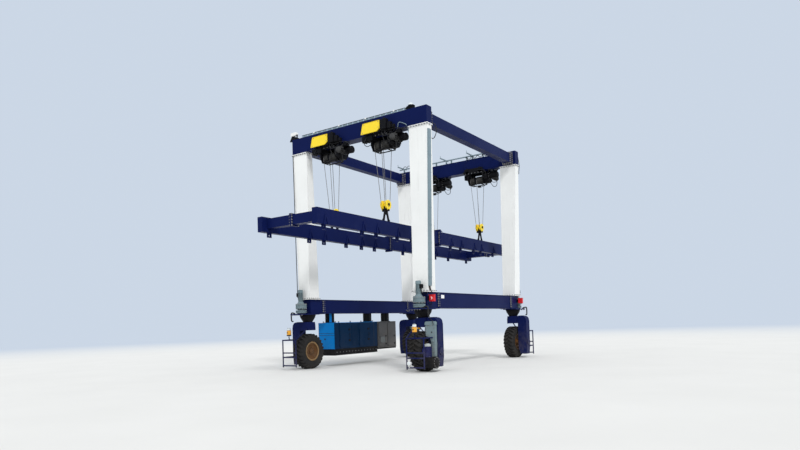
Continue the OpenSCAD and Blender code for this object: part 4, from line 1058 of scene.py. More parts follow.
class CARRIER_OT_ropes(bpy.types.Operator):
    """Hangs the wire ropes between the hoists and the hook blocks, and dresses the blocks"""
    bl_idname = "carrier.ropes"
    bl_label = "Ropes and hook blocks"

    radius, steps, sheave = 0.009, 16, 0.1485
    # Each fall: its place at the drum, at the sheaves, and the side that it hangs on
    falls = ((-0.220, -0.080, -1), (-0.080, -0.080, 1), (0.090, 0.080, -1), (0.290, 0.080, 1))

    def execute(self, context):
        ropes = Shape()
        for corner in CORNERS:
            y = PORTAL_Y + end_of(corner) * GIRDER_Y
            for top, low, way in self.falls:
                start = Vector((hoist_middle(corner) + top, y + way * DRUM_R, DRUM_Z))
                end = Vector((side_of(corner) * SPREADER_X + low, y + way * self.sheave, BLOCK_Z))
                points = [start.lerp(end, i / self.steps) for i in range(self.steps + 1)]
                ropes.pipe(points, self.radius, 8)
            self.block(corner)
        falls = ropes.done("wire_ropes", "rope_steel", None, "rope_steel", angle=60)
        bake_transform(falls)
        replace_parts(falls, "ropes")
        return {"FINISHED"}

    def block(self, corner):
        place = Matrix.Translation((side_of(corner) * SPREADER_X, PORTAL_Y + end_of(corner) * GIRDER_Y,
                                    BLOCK_Z))
        sheaves = Shape(place)
        for x in (-0.08, 0.08):
            sheaves.ring_of([(0.062, -0.034), (0.140, -0.034), (0.150, -0.030), (0.152, -0.020),
                             (0.139, -0.006),
                             (0.139, 0.006), (0.152, 0.020), (0.150, 0.030), (0.140, 0.034), (0.062, 0.034)],
                            (x, 0, 0), (1, 0, 0), 40)
        sheaves.done("sheaves_" + corner, "yellow_paint", "spreader", "yellow_paint", angle=30)
        cheeks = Shape(place)
        for x in (-0.128, 0.116):
            outline = arc(0, 0, 0.168, range(-30, 211, 30)) + [(-0.060, -0.200), (0.060, -0.200)]
            cheeks.prism(outline, "x", x, x + 0.012)
        cheeks.done("block_cheeks_" + corner, "yellow_paint", "spreader", "yellow_paint", 0.003)
        axle = Shape(place)
        axle.lathe([(0.020, -0.02), (0.048, -0.02), (0.048, 0.0), (0.036, 0.004), (0.036, 0.272),
                    (0.048, 0.276), (0.048, 0.296), (0.020, 0.296)], (-0.138, 0, 0), (1, 0, 0), 24)
        axle.block((-0.130, -0.055, -0.235), (0.130, 0.055, -0.165))
        axle.lathe([(0.050, 0), (0.050, 0.10), (0.038, 0.11)], (0, 0, -0.34), (0, 0, 1), 24)
        for side in (-1, 1):
            path = [(0, side * y, z) for y, z in ((0.02, -0.30), (0.075, -0.36), (0.12, -0.46),
                                                  (0.155, -0.57))]
            axle.pipe(smooth_path(path, 5), 0.030, 12)
            axle.ring_of([(0.026, -0.022), (0.055, -0.022), (0.055, 0.022), (0.026, 0.022)],
                         (0, side * 0.158, -0.560), (1, 0, 0), 24)
        axle.done("hook_gear_" + corner, "black_paint", "spreader", "black_paint", 0.003)
        nuts = [nut for way in (1, -1) for nut in bolt_ring((way * 0.128, 0, 0), (way, 0, 0), 0.085, 5)]
        bolts("block_bolts_" + corner, moved(place, nuts), "spreader", 0.008, "bolt_zinc")


def is_driven(corner):
    """Two bogies, diagonally opposite, have a wheel drive."""
    return side_of(corner) * end_of(corner) < 0


def fins(shape, centre, axis, inner, outer, count, low, high, thick=0.006, start=0.0, sweep=2 * math.pi):
    """Thin fins that stand out round an axis ("y" or "z"), from one distance along it to another."""
    order = {"y": (1, 2, 0), "z": (0, 1, 2)}[axis]
    for i in range(count):
        angle = start + sweep * i / count
        across = Vector((math.cos(angle), math.sin(angle)))
        side = Vector((-across.y, across.x)) * thick / 2
        corners = [across * inner - side, across * inner + side, across * outer + side, across * outer - side]
        loops = []
        for along in (low, high):
            local = [(c.x, c.y, along) for c in corners]
            loops.append([Vector(centre) + Vector([point[i] for i in order]) for point in local])
        shape.rings(loops)


class CARRIER_OT_drives(bpy.types.Operator):
    """Builds the wheel drives: gear case, finned motor with a pale cap, bevel gearbox with a round cover"""
    bl_idname = "carrier.drives"
    bl_label = "Wheel drives"

    back, face = 0.1703, 0.3003
    motor = (0.4105, 0.4303)

    def execute(self, context):
        for corner in CORNERS:
            if is_driven(corner):
                place, body, node = at_wheel(corner), "bogie_" + corner, "wheel_drive_" + corner
                for made in (self.case(corner, place, body), self.motor_of(corner, place, body),
                             self.cap(corner, place, body), self.bevel(corner, place, body)):
                    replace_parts(made, node)
                self.small(corner, place, body)
        return {"FINISHED"}

    def case(self, corner, place, body):
        shape = Shape(place)
        outline = [(0.2595, 1.18), (0.2595, 1.56), (0.6295, 1.56), (0.6295, 0.92), (0.6145, 0.48),
                   (0.4645, 0.48), (0.4795, 0.92), (0.4295, 1.12)]
        shape.prism(outline, "y", self.back, self.face)
        cover = [(0.285, 1.195), (0.285, 1.535), (0.606, 1.535), (0.606, 0.925), (0.592, 0.505),
                 (0.487, 0.505), (0.503, 0.925), (0.446, 1.14)]
        shape.prism(cover, "y", self.face, self.face + 0.012)
        head = [(0.2445, 1.56), *arc(0.3045, 1.61, 0.06, (180, 157.5, 135, 112.5, 90)),
                *arc(0.5845, 1.61, 0.06, (90, 67.5, 45, 22.5, 0)), (0.6445, 1.56)]
        shape.prism(head, "y", self.back, self.face + 0.015)
        shape.block((0.24, self.back, 1.548), (0.650, self.face + 0.022, 1.566))
        shape.block((0.470, self.back, 0.90), (0.636, self.face + 0.018, 0.935))
        shape.lathe([(0.055, 0), (0.055, 0.016), (0.040, 0.022)], (0.545, self.face + 0.012, 1.02),
                    (0, 1, 0), 24)
        return shape.done("gear_case_" + corner, "gear_grey", body, "gear_grey", 0.006)

    def motor_of(self, corner, place, body):
        shape = Shape(place)
        x, y = self.motor
        shape.lathe([(0.090, 0.480), (0.128, 0.482), (0.128, 0.510), (0.112, 0.516), (0.112, 0.822),
                     (0.126, 0.826), (0.126, 0.842), (0.100, 0.844)], (x, y, 0), (0, 0, 1), 40)
        fins(shape, (x, y, 0), "z", 0.108, 0.127, 26, 0.518, 0.820)
        shape.block((0.2395, y - 0.085, 0.60), (x - 0.06, y + 0.085, 0.78))
        shape.block((0.232, y - 0.075, 0.612), (0.2395, y + 0.075, 0.768))
        return shape.done("drive_motor_" + corner, "motor_navy", body, "gear_grey", 0.003)

    def cap(self, corner, place, body):
        shape = Shape(place)
        profile = [(0.104, 0.842), (0.110, 0.850), (0.110, 0.895)]
        profile += [(0.110 * math.cos(a), 0.895 + 0.055 * math.sin(a)) for a in (0.35, 0.7, 1.05, 1.35, 1.55)]
        shape.lathe(profile, (*self.motor, 0), (0, 0, 1), 40)
        return shape.done("motor_cap_" + corner, "motor_grey", body, "gear_grey")

    def bevel(self, corner, place, body):
        shape = Shape(place)
        shape.prism([(0.1703, 0.19), (0.1703, 0.49), (0.5553, 0.49), (0.5553, 0.20), (0.505, 0.15),
                     (0.21, 0.15)],
                    "x", 0.2795, 0.6495)
        shape.block((0.29, 0.31, 0.478), (0.60, 0.565, 0.500))
        centre = (0, 0.3753, 0.315)
        shape.lathe([(0.165, 0.630), (0.200, 0.634), (0.200, 0.655), (0.192, 0.660), (0.192, 0.690),
                     (0.200, 0.694),
                     (0.200, 0.706), (0.196, 0.7095), (0.125, 0.7095), (0.105, 0.722), (0.100, 0.742),
                     (0.088, 0.7495)], centre, (1, 0, 0), 48)
        return shape.done("bevel_gearbox_" + corner, "black_paint", body, "black_paint", 0.004)

    def small(self, corner, place, body):
        """Bolts, oil glass and hoses."""
        y = self.face + 0.012
        found = [((px, y, pz), (0, 1, 0)) for px, pz in
                 ((0.30, 1.21), (0.30, 1.33), (0.30, 1.45), (0.36, 1.52), (0.44, 1.52), (0.52, 1.52),
                  (0.591, 1.45),
                  (0.591, 1.30), (0.591, 1.15), (0.591, 1.0), (0.584, 0.80), (0.579, 0.65), (0.512, 0.80),
                  (0.506, 0.65), (0.46, 1.14), (0.38, 1.20))]
        found += bolt_ring((0.7095, 0.3753, 0.315), (1, 0, 0), 0.165, 12, 0.1)
        found += [((px, py, 0.510), (0, 0, 1)) for px in (0.33, 0.54) for py in (0.345, 0.52)]
        bolts("drive_bolts_" + corner, moved(place, found), body, 0.011, "bolt_zinc")
        dark = Shape(place)
        dark.lathe([(0.020, 0), (0.024, 0.004), (0.024, 0.012), (0.014, 0.014)], (0.51, y, 1.307), (0, 1, 0),
                   20)
        for route in ([(0.236, 0.39, 0.66), (0.238, 0.42, 0.82), (0.242, 0.40, 1.00), (0.244, 0.33, 1.18),
                       (0.244, 0.30, 1.36), (0.246, 0.26, 1.52)],
                      [(0.34, 0.5553, 0.30), (0.30, 0.60, 0.32), (0.25, 0.58, 0.46), (0.25, 0.50, 0.60)],
                      [(0.60, 0.34, 1.56), (0.58, 0.36, 1.68), (0.48, 0.30, 1.74), (0.36, 0.22, 1.78)]):
            dark.pipe(smooth_path(route, 6), 0.011, 8)
        dark.done("drive_hoses_" + corner, "cable_black", body, "cable_black", angle=60)


class CARRIER_OT_guards(bpy.types.Operator):
    """Dresses the wheel guards: beacons with amber lenses, headlamps, end caps and cables"""
    bl_idname = "carrier.guards"
    bl_label = "Guards, beacons and headlamps"

    beacon = (0.188, 0.85, 1.32)
    lamp = (-0.05, 0.85, 0.31)

    def execute(self, context):
        for corner in CORNERS:
            place, body = at_wheel(corner), "bogie_" + corner
            amber = Shape(place)
            profile = [(0.074, 0.012)]
            for ring in range(7):
                z = 0.018 + ring * 0.022
                profile += [(0.0815, z), (0.0835, z + 0.009), (0.0815, z + 0.018)]
            amber.lathe(profile + [(0.076, 0.180), (0.066, 0.186)], self.beacon, (0, 0, 1), 32)
            amber.done("beacon_lens_" + corner, "amber_lens", body, "yellow_paint")
            cap = Shape(place)
            cap.lathe([(0.066, 0.186), (0.0675, 0.19), (0.0675, 0.255), (0.060, 0.270), (0.036, 0.280),
                       (0.012, 0.283)],
                      self.beacon, (0, 0, 1), 32)
            cap.done("beacon_cap_" + corner, "clear_lens", body, "gear_grey")
            dark = Shape(place)
            dark.lathe([(0.070, -0.030), (0.088, -0.026), (0.088, 0.010), (0.078, 0.014)], self.beacon,
                       (0, 0, 1), 32)
            dark.lathe([(0.024, 0), (0.024, 0.012), (0.018, 0.014)], (0.188, 0.925, 1.415), (0, 1, 0), 20)
            for x in (-0.15, 0.526):
                dark.lathe([(0.0255, 0), (0.0255, 0.03), (0.02, 0.034)], (x, 0.85, 0.108), (0, 0, 1), 16)
            dark.pipe(smooth_path([(0.188, 0.86, 1.29), (0.17, 0.885, 1.22), (0.08, 0.885, 1.16),
                                   (-0.10, 0.88, 1.16),
                                   (-0.15, 0.80, 1.18), (-0.15, 0.60, 1.32), (-0.15, 0.40, 1.46),
                                   (-0.14, 0.25, 1.56)], 5), 0.007, 8)
            dark.done("guard_fittings_" + corner, "cable_black", body, "cable_black", angle=50)
            if is_driven(corner):
                self.headlamp(corner, place, body)
        return {"FINISHED"}

    def headlamp(self, corner, place, body):
        x, y, z = self.lamp
        shell = Shape(place)
        shell.lathe([(0.030, -0.075), (0.052, -0.066), (0.066, -0.040), (0.068, 0.030), (0.072, 0.034),
                     (0.072, 0.046), (0.062, 0.046)], (x, y, z), (0, 1, 0), 32)
        shell.block((x - 0.012, y - 0.03, z - 0.145), (x + 0.012, y + 0.03, z - 0.060))
        shell.done("headlamp_" + corner, "white_paint", body, "white_paint", 0.002)
        glass = Shape(place)
        glass.lathe([(0.062, 0.040), (0.060, 0.048), (0.040, 0.056), (0.012, 0.059)], (x, y, z), (0, 1, 0),
                    32)
        glass.done("headlamp_glass_" + corner, "clear_lens", body, "white_paint")


class CARRIER_OT_bogies(bpy.types.Operator):
    """Adds the kingpins' boots, the steering rings, the cheeks' ribs and axle covers, and the cable guides"""
    bl_idname = "carrier.bogies"
    bl_label = "Bogie fittings"

    teeth = 72

    def execute(self, context):
        for corner in CORNERS:
            place, body = at_wheel(corner), "bogie_" + corner
            boot = Shape(place)
            boot.ring_of([(0.150, 1.801), (0.1785, 1.801), (0.185, 1.815), (0.290, 1.985), (0.2925, 2.0),
                          (0.2925, 2.028), (0.150, 2.028)], (0, 0, 0), (0, 0, 1), 48)
            boot.done("kingpin_boot_" + corner, "black_paint", body, "black_paint", angle=25)
            ring = Shape(place)
            tooth = [(0.298, -0.0085), (0.309, -0.0035), (0.309, 0.0035), (0.298, 0.0085)]
            for angle in circle(self.teeth):
                turn = Matrix.Rotation(angle, 3, "Z")
                ring.rings([[turn @ Vector((r, t, z)) for r, t in tooth] for z in (2.033, 2.077)])
            ring.ring_of([(0.26, 2.0308), (0.302, 2.0308), (0.302, 2.079), (0.26, 2.079)], (0, 0, 0),
                         (0, 0, 1), 48)
            ring.done("steering_ring_" + corner, "black_paint", "frame", "black_paint", angle=25)
            self.cheek(corner, place, body)
            self.guide(corner, place)
        return {"FINISHED"}

    def cheek(self, corner, place, body):
        """Ribs and plates of the cheek, and the axle's cover."""
        shape = Shape(place)
        for y in (-0.172, 0.152):
            shape.block((0.6600, y, 0.45), (0.6690, y + 0.02, 1.60))
        shape.block((0.6600, -0.15, 1.02), (0.6665, 0.13, 1.04))
        shape.block((0.30, -0.14, 1.80), (0.47, 0.14, 1.812))
        near, far = (-0.1785, -0.1705) if is_driven(corner) else (0.1705, 0.1785)
        shape.block((0.43, near, 0.52), (0.62, far, 1.36))
        shape.done("cheek_ribs_" + corner, "bogie_paint", body, "navy_paint", 0.003)
        hub = Shape(place)
        hub.lathe([(0.128, 0), (0.132, 0.004), (0.132, 0.016), (0.122, 0.020), (0.080, 0.022), (0.076, 0.034),
                   (0.070, 0.036)], (0.6795, 0, TYRE_R), (1, 0, 0), 40)
        hub.done("axle_cover_" + corner, "bogie_paint", body, "navy_paint", angle=30)

    def guide(self, corner, place):
        """Black tube that leads the bogie's cables down from the steering plate to the cheek's top."""
        shape = Shape(place)
        shape.pipe(smooth_path([(0.28, 0.42, 2.135), (0.36, 0.42, 2.165), (0.44, 0.42, 2.165),
                                (0.465, 0.42, 2.12),
                                (0.468, 0.42, 1.98), (0.468, 0.40, 1.86), (0.45, 0.34, 1.838)], 6), 0.026, 12)
        shape.block((0.27, 0.39, 2.121), (0.33, 0.45, 2.150))
        shape.done("cable_guide_" + corner, "cable_black", "frame", "cable_black", 0.0, 60)


class CARRIER_OT_steering(bpy.types.Operator):
    """Builds the steering gearmotors with flanged discs, finned motors and terminal boxes"""
    bl_idname = "carrier.steering"
    bl_label = "Steering drives"

    axis = (0.05, 0.295)
    motor = (0.05, 0.320)

    def execute(self, context):
        for corner in CORNERS:
            place = at_wheel(corner)
            for made in (self.gear(corner, place), self.box(corner, place)):
                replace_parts(made, "steering_drives")
        return {"FINISHED"}

    def gear(self, corner, place):
        shape = Shape(place)
        profile = [(0.160, 2.1205), (0.160, 2.146)]
        for start, tall in ((2.150, 0.110), (2.325, 0.155)):
            top = start + tall
            profile += [(0.204, start), (0.212, start + 0.006), (0.212, start + 0.028),
                        (0.198, start + 0.036),
                        (0.198, top - 0.036), (0.212, top - 0.028), (0.212, top - 0.006), (0.204, top),
                        (0.120, top + 0.001)]
        shape.lathe(profile, (*self.axis, 0), (0, 0, 1), 56)
        for start, tall in ((2.150, 0.110), (2.325, 0.155)):
            fins(shape, (*self.axis, 0), "z", 0.192, 0.2085, 16, start + 0.03, start + tall - 0.03, 0.020)
        x, y = self.motor
        shape.lathe([(0.160, 2.480), (0.162, 2.494), (0.150, 2.500), (0.096, 2.578), (0.096, 2.592),
                     (0.078, 2.596),
                     (0.078, 2.922), (0.094, 2.928), (0.0955, 2.940), (0.0955, 3.020), (0.085, 3.042),
                     (0.045, 3.050)], (x, y, 0), (0, 0, 1), 40)
        fins(shape, (x, y, 0), "z", 0.074, 0.091, 22, 2.604, 2.918, 0.005)
        shape.lathe([(0.030, 0), (0.030, 0.05), (0.022, 0.055)], (x - 0.12, y + 0.10, 2.48), (0, 0, 1), 16)
        return shape.done("steering_gearmotor_" + corner, "gear_grey", "frame", "gear_grey", angle=30)

    def box(self, corner, place):
        shape = Shape(place)
        x, y = self.motor
        shape.block((x + 0.070, y - 0.052, 2.785), (x + 0.168, y + 0.052, 2.925))
        shape.block((x + 0.168, y - 0.046, 2.793), (x + 0.1755, y + 0.046, 2.917))
        shape.lathe([(0.020, 0), (0.020, 0.02), (0.014, 0.03)], (x + 0.12, y, 2.785), (0, 0, -1), 16)
        shape.pipe(smooth_path([(x + 0.12, y, 2.765), (x + 0.125, y - 0.01, 2.66), (x + 0.16, y - 0.10, 2.58),
                                (x + 0.15, y - 0.25, 2.62), (x + 0.12, y - 0.30, 2.675)], 6), 0.011, 8)
        return shape.done("steering_terminals_" + corner, "black_paint", "frame", "black_paint", 0.003)


class CARRIER_OT_stops(bpy.types.Operator):
    """Builds the emergency stop boxes with their hoods, brackets and push buttons"""
    bl_idname = "carrier.stops"
    bl_label = "Stop boxes"

    def execute(self, context):
        for corner in CORNERS:
            place = at_portal(corner)
            red = Shape(place)
            red.block((2.940, 3.620, 2.340), (3.125, 3.728, 2.560))
            red.block((2.948, 3.728, 2.348), (3.117, 3.740, 2.552))
            red.prism([(3.612, 2.560), (3.755, 2.556), (3.755, 2.570), (3.612, 2.578)], "x", 2.930, 3.135)
            red.lathe([(0.014, 0), (0.014, 0.022), (0.034, 0.026), (0.036, 0.036), (0.024, 0.044),
                       (0.008, 0.046)],
                      (3.03, 3.748, 2.45), (0, 1, 0), 28)
            made = red.done("stop_box_" + corner, "red_plastic", "frame", "red_plastic", 0.005)
            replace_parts(made, "stop_boxes")
            collar = Shape(place)
            collar.ring_of([(0.018, 0), (0.045, 0), (0.045, 0.006), (0.038, 0.010), (0.018, 0.010)],
                           (3.03, 3.740, 2.45), (0, 1, 0), 28)
            collar.done("stop_collar_" + corner, "white_paint", "frame", "white_paint", angle=30)
            dark = Shape(place)
            dark.block((2.865, 3.660, 2.380), (2.945, 3.700, 2.520))
            dark.block((2.865, 3.630, 2.370), (2.877, 3.730, 2.530))
            for x in (3.0, 3.08):
                dark.lathe([(0.014, 0), (0.014, 0.02), (0.010, 0.028)], (x, 3.68, 2.340), (0, 0, -1), 14)
            dark.pipe(smooth_path([(3.0, 3.68, 2.315), (2.995, 3.68, 2.26), (2.95, 3.68, 2.225),
                                   (2.89, 3.67, 2.24), (2.872, 3.62, 2.30)], 5), 0.009, 8)
            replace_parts(dark.done("stop_bracket_" + corner, "black_paint", "frame", "black_paint", 0.002),
                        "stop_boxes")
        return {"FINISHED"}


class CARRIER_OT_pack(bpy.types.Operator):
    """Dresses the power pack and the control cabinet: sheets, seals, latches, louvres, handles and eyes"""
    bl_idname = "carrier.pack"
    bl_label = "Power pack and cabinet"

    face = box_of("pack_door_front")[0].x
    doors = ("pack_door_front", "pack_door_rear")
    cabinet_doors = ("cabinet_door_front", "cabinet_door_rear")

    def execute(self, context):
        self.panels()
        self.grilles()
        self.gaskets()
        self.latches()
        self.cabinet()
        self.skid()
        return {"FINISHED"}

    def panels(self):
        """Sheets on the canopy's front end, roof and long faces, with seams between them."""
        x0, x1, front, rear = PACK_LOW.x, self.face, PACK_LOW.y, PACK_HIGH.y
        shape = Shape()
        for low, high in ((0.705, 1.238), (1.252, 1.316), (1.330, 1.738)):
            shape.block((x0 + 0.012, front - 0.006, low), (x1 - 0.012, front, high))
        # Folded lip round the roof and a plinth round the foot
        for z in (1.738, 0.690):
            shape.block((x0 - 0.004, front - 0.008, z), (x1 + 0.004, front, z + 0.014))
            shape.block((x0 - 0.008, front - 0.004, z), (x0, rear, z + 0.014))
        shape.block((x1, front, 1.738), (x1 + 0.006, rear, 1.752))
        for start, end in ((-2.42, -1.50), (-1.488, -0.55), (-0.538, 0.39)):
            shape.block((x0 - 0.005, start, 0.712), (x0, end, 1.728))
        shape.block((x0 + 0.010, front + 0.010, 1.750), (x1 - 0.010, rear - 0.010, 1.753))
        shape.done("canopy_sheets", "pack_blue", "frame", "pack_blue", 0.002)
        # Sheets of the inner face round the doors, in the pack's blue darkened as painted shade
        side = Shape()
        doors = [box_of(door) for door in self.doors]
        edges = [front + 0.004]
        for low, high in doors:
            edges += [low.y - 0.03, high.y]
        edges.append(rear - 0.004)
        for start, end in zip(edges[::2], edges[1::2]):
            side.block((x1, start, 0.704), (x1 + 0.003, end, 1.736))
        for low, high in doors:
            side.block((x1, low.y - 0.03, 0.704), (x1 + 0.003, high.y, low.z - 0.006))
            side.block((x1, low.y - 0.03, high.z + 0.006), (x1 + 0.003, high.y, 1.736))
        side.done("canopy_side", "pack_blue_painted_shade", "frame", "pack_blue", 0.001)

    def grilles(self):
        """Louvres on the canopy's outer face and between its doors."""
        inner = (self.face, 1, -1.36, -0.95, 0.80, 1.62)
        outer = [(PACK_LOW.x - 0.005, -1, y, y + 0.62, 0.90, 1.60) for y in (-2.27, -1.33, -0.39)]
        # The inner louvres take the pack's blue darkened as painted shade
        for name, finish, places in (("louvres_inner", "pack_blue_painted_shade", [inner]),
                                     ("louvres", "pack_blue", outer)):
            self.louvres(places).done(name, finish, "frame", "pack_blue", angle=25)

    def louvres(self, places):
        shape = Shape()
        for x, way, y0, y1, z0, z1 in places:
            count = int((z1 - z0) / 0.045)
            for i in range(count):
                z = z0 + (i + 0.5) * (z1 - z0) / count
                profile = [(x, z + 0.018), (x + way * 0.017, z - 0.012), (x + way * 0.015, z - 0.016),
                           (x, z - 0.006)]
                shape.prism(profile, "y", y0 + 0.02, y1 - 0.02)
            out = x + way * 0.012
            for y in (y0, y1 - 0.02):
                shape.block((x, y, z0), (out, y + 0.02, z1))
            for z in (z0 - 0.015, z1):
                shape.block((x, y0, z), (out, y1, z + 0.015))
        return shape

    def gaskets(self):
        """Dark seals behind the doors and in the seams, and a round plug in the canopy's end."""
        shape = Shape()
        for door in self.doors + self.cabinet_doors:
            low, high = box_of(door)
            shape.border((self.face, low.y + 0.008, low.z - 0.006),
                         (self.face + 0.008, high.y + 0.006, high.z + 0.006),
                         0.012, left=False)
        for z in (1.238, 1.316):
            shape.block((PACK_LOW.x + 0.02, PACK_LOW.y - 0.003, z), (self.face - 0.02, PACK_LOW.y, z + 0.014))
        shape.lathe([(0.020, 0), (0.034, 0.002), (0.034, 0.012), (0.026, 0.014)],
                    (-2.767, PACK_LOW.y - 0.004, 1.092), (0, -1, 0), 24)
        shape.block((self.face, 0.149, 0.70), (self.face + 0.004, 0.166, 1.735))
        shape.done("canopy_seals", "cable_black", "frame", "cable_black", angle=40)

    def latches(self):
        """Paddle latches and grab handles on the canopy's doors."""
        for door in self.doors:
            low, high = box_of(door)
            x = low.x + DOOR_THICK
            shape = Shape()
            for z in (low.z + 0.24, high.z - 0.28):
                shape.block((x, high.y - 0.150, z), (x + 0.006, high.y - 0.040, z + 0.075))
                shape.prism([(x + 0.006, z + 0.012), (x + 0.020, z + 0.018), (x + 0.020, z + 0.052),
                             (x + 0.006, z + 0.062)], "y", high.y - 0.138, high.y - 0.052)
                shape.lathe([(0.010, 0), (0.010, 0.008), (0.006, 0.010)],
                            (x + 0.006, high.y - 0.032, z + 0.037), (1, 0, 0), 14)
            z = (low.z + high.z) / 2
            bow = ((0, -0.075), (0.028, -0.065), (0.030, 0), (0.028, 0.065), (0, 0.075))
            handle = [(x + out, high.y - 0.10, z + up) for out, up in bow]
            shape.pipe(smooth_path(handle, 5), 0.008, 8)
            shape.done(door + "_latches", "black_paint", door, "black_paint", 0.001)

    def cabinet(self):
        """Ledges, handles and a window on the cabinet's doors, its sheets and its roof's lip."""
        x = self.face + DOOR_THICK
        ledges = Shape()
        for door in self.cabinet_doors:
            low, high = box_of(door)
            parts = Shape()
            for z in (1.195, 1.100, 0.822, 0.712):
                parts.block((x, low.y + 0.05, z - 0.005), (x + 0.007, high.y - 0.02, z + 0.005))
            parts.done(door + "_ledges", "cabinet_grey", door, "cabinet_grey", 0.002)
            dark = Shape()
            for z in (1.102, 0.759):
                dark.block((x, high.y - 0.145, z - 0.030), (x + 0.010, high.y - 0.050, z + 0.030))
                dark.prism([(x + 0.010, z - 0.018), (x + 0.026, z - 0.008), (x + 0.026, z + 0.010),
                            (x + 0.010, z + 0.020)], "y", high.y - 0.13, high.y - 0.065)
            dark.done(door + "_handles", "black_paint", door, "black_paint", 0.002)
        low, high = box_of("cabinet_door_front")
        recess = Shape()
        y0, y1, z0, z1 = low.y + 0.09, high.y - 0.14, 0.790, 1.095
        wide = 0.014
        recess.border((x, y0, z0), (x + 0.012, y1, z1), wide)
        recess.done("cabinet_window_frame", "cabinet_grey", "cabinet_door_front", "cabinet_grey", 0.002)
        glass = Shape()
        glass.block((x, y0 + wide, z0 + wide), (x + 0.004, y1 - wide, z1 - wide))
        glass.done("cabinet_window", "dark_lens", "cabinet_door_front", "cabinet_grey")
        for y, way in ((CABINET_LOW.y, -1), (CABINET_HIGH.y, 1)):
            ledges.block((CABINET_LOW.x, y, 1.732), (self.face, y + way * 0.006, 1.75))
        ledges.block((self.face, CABINET_LOW.y, 1.732), (self.face + 0.010, CABINET_HIGH.y, 1.75))
        for y in (0.62, 1.02, 1.42):
            ledges.block((CABINET_LOW.x - 0.006, y, 0.66), (CABINET_LOW.x, y + 0.36, 1.70))
        ledges.block((CABINET_LOW.x + 0.06, CABINET_HIGH.y, 0.66),
                     (self.face - 0.06, CABINET_HIGH.y + 0.006, 1.70))
        ledges.done("cabinet_sheets", "cabinet_grey", "frame", "cabinet_grey", 0.002)

    def skid(self):
        """Bolts of the hangers, the face of one, lifting eyes on the canopy and pipes along the skid."""
        found = []
        hangers = [(x, y) for x in (-2.76, -2.54) for y in (-2.34, 0.15, 1.47)]
        for x, y in hangers:
            found += [((x + dx, y + dy, 1.7505), (0, 0, 1)) for dx in (-0.09, 0.09) for dy in (0.03, 0.13)]
        found += row((-2.28, -2.30, 0.56), (-2.28, 0.30, 0.56), 14, (1, 0, 0))
        bolts("skid_bolts", found, "frame", 0.012, "bolt_zinc")
        shape = Shape()
        for x, y in hangers:
            shape.block((x - 0.115, y - 0.01, 1.750), (x + 0.115, y + 0.17, 1.766))
        plate = Shape()
        x, y = hangers[3]
        plate.block((x - 0.060, y - 0.004, 1.767), (x + 0.060, y, 2.119))
        plate.done("hanger_face", "pack_blue", "frame", "pack_blue", 0.001)
        for x in (-3.0, -2.37):
            for y in (-2.25, -1.3, 0.22):
                shape.ring_of([(0.016, -0.006), (0.034, -0.006), (0.034, 0.006), (0.016, 0.006)],
                              (x, y, 1.78), (0, 1, 0), 20)
                shape.lathe([(0.014, 0), (0.014, 0.02)], (x, y, 1.748), (0, 0, 1), 12)
        for z in (0.64, 0.50):
            shape.pipe([(-2.268, -2.36, z), (-2.268, 0.34, z)], 0.012, 10)
        shape.done("skid_fittings", "black_paint", "frame", "black_paint", 0.002)


class CARRIER_OT_lamps(bpy.types.Operator):
    """Builds the domed lamp and the flood lamp on the front girder"""
    bl_idname = "carrier.lamps"
    bl_label = "Lamps"

    def execute(self, context):
        low, high = box_of("work_lamps")
        y = (low.y + high.y) / 2
        x, z = high.x - 0.09, low.z
        base = Shape()
        base.lathe([(0.070, 0.06), (0.070, 0.10), (0.094, 0.106), (0.096, 0.116), (0.096, 0.172),
                    (0.088, 0.180)],
                   (x, y, z), (0, 0, 1), 40)
        base.prism([(x - 0.225, z + 0.090), (x - 0.115, z + 0.165), (x + 0.130, z + 0.172),
                    (x + 0.155, z + 0.130), (x + 0.090, z), (x - 0.160, z)], "y", y - 0.05, y + 0.05)
        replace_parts(base.done("dome_base", "black_paint", "frame", "black_paint", 0.002), "work_lamps")
        dome = Shape()
        profile = [(0.092 * math.cos(a), 0.180 + 0.092 * math.sin(a)) for a in (0, 0.25, 0.5, 0.75, 1.0,
                                                                                1.25, 1.5)]
        dome.lathe(profile, (x, y, z), (0, 0, 1), 40)
        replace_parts(dome.done("dome_lens", "clear_lens", "frame", "white_paint"), "work_lamps")
        x0, x1 = low.x, low.x + 0.32
        head = Shape()
        head.prism([(x0, z + 0.215), (x0 + 0.03, z + 0.20), (x1 - 0.05, z + 0.20), (x1, z + 0.235),
                    (x1, z + 0.305), (x1 - 0.04, z + 0.33), (x0 + 0.02, z + 0.33)], "y", y - 0.07, y + 0.05)
        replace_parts(head.done("flood_head", "white_paint", "frame", "white_paint", 0.008), "work_lamps")
        mast = Shape()
        mast.lathe([(0.055, 0), (0.055, 0.012), (0.026, 0.016), (0.024, 0.245)], (x1 - 0.02, y, z),
                   (0, 0, 1), 20)
        for i in range(6):
            mast.block((x0 + 0.06 + i * 0.035, y + 0.05, z + 0.215),
                       (x0 + 0.072 + i * 0.035, y + 0.07, z + 0.315))
        mast.prism([(x0 - 0.085, z + 0.01), (x0 - 0.02, z), (x1 + 0.16, z), (x1 + 0.04, z + 0.10),
                    (x0 + 0.14, z + 0.19), (x0 + 0.03, z + 0.19)], "y", y - 0.03, y + 0.03)
        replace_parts(mast.done("flood_mast", "black_paint", "frame", "black_paint", 0.002), "work_lamps")
        return {"FINISHED"}


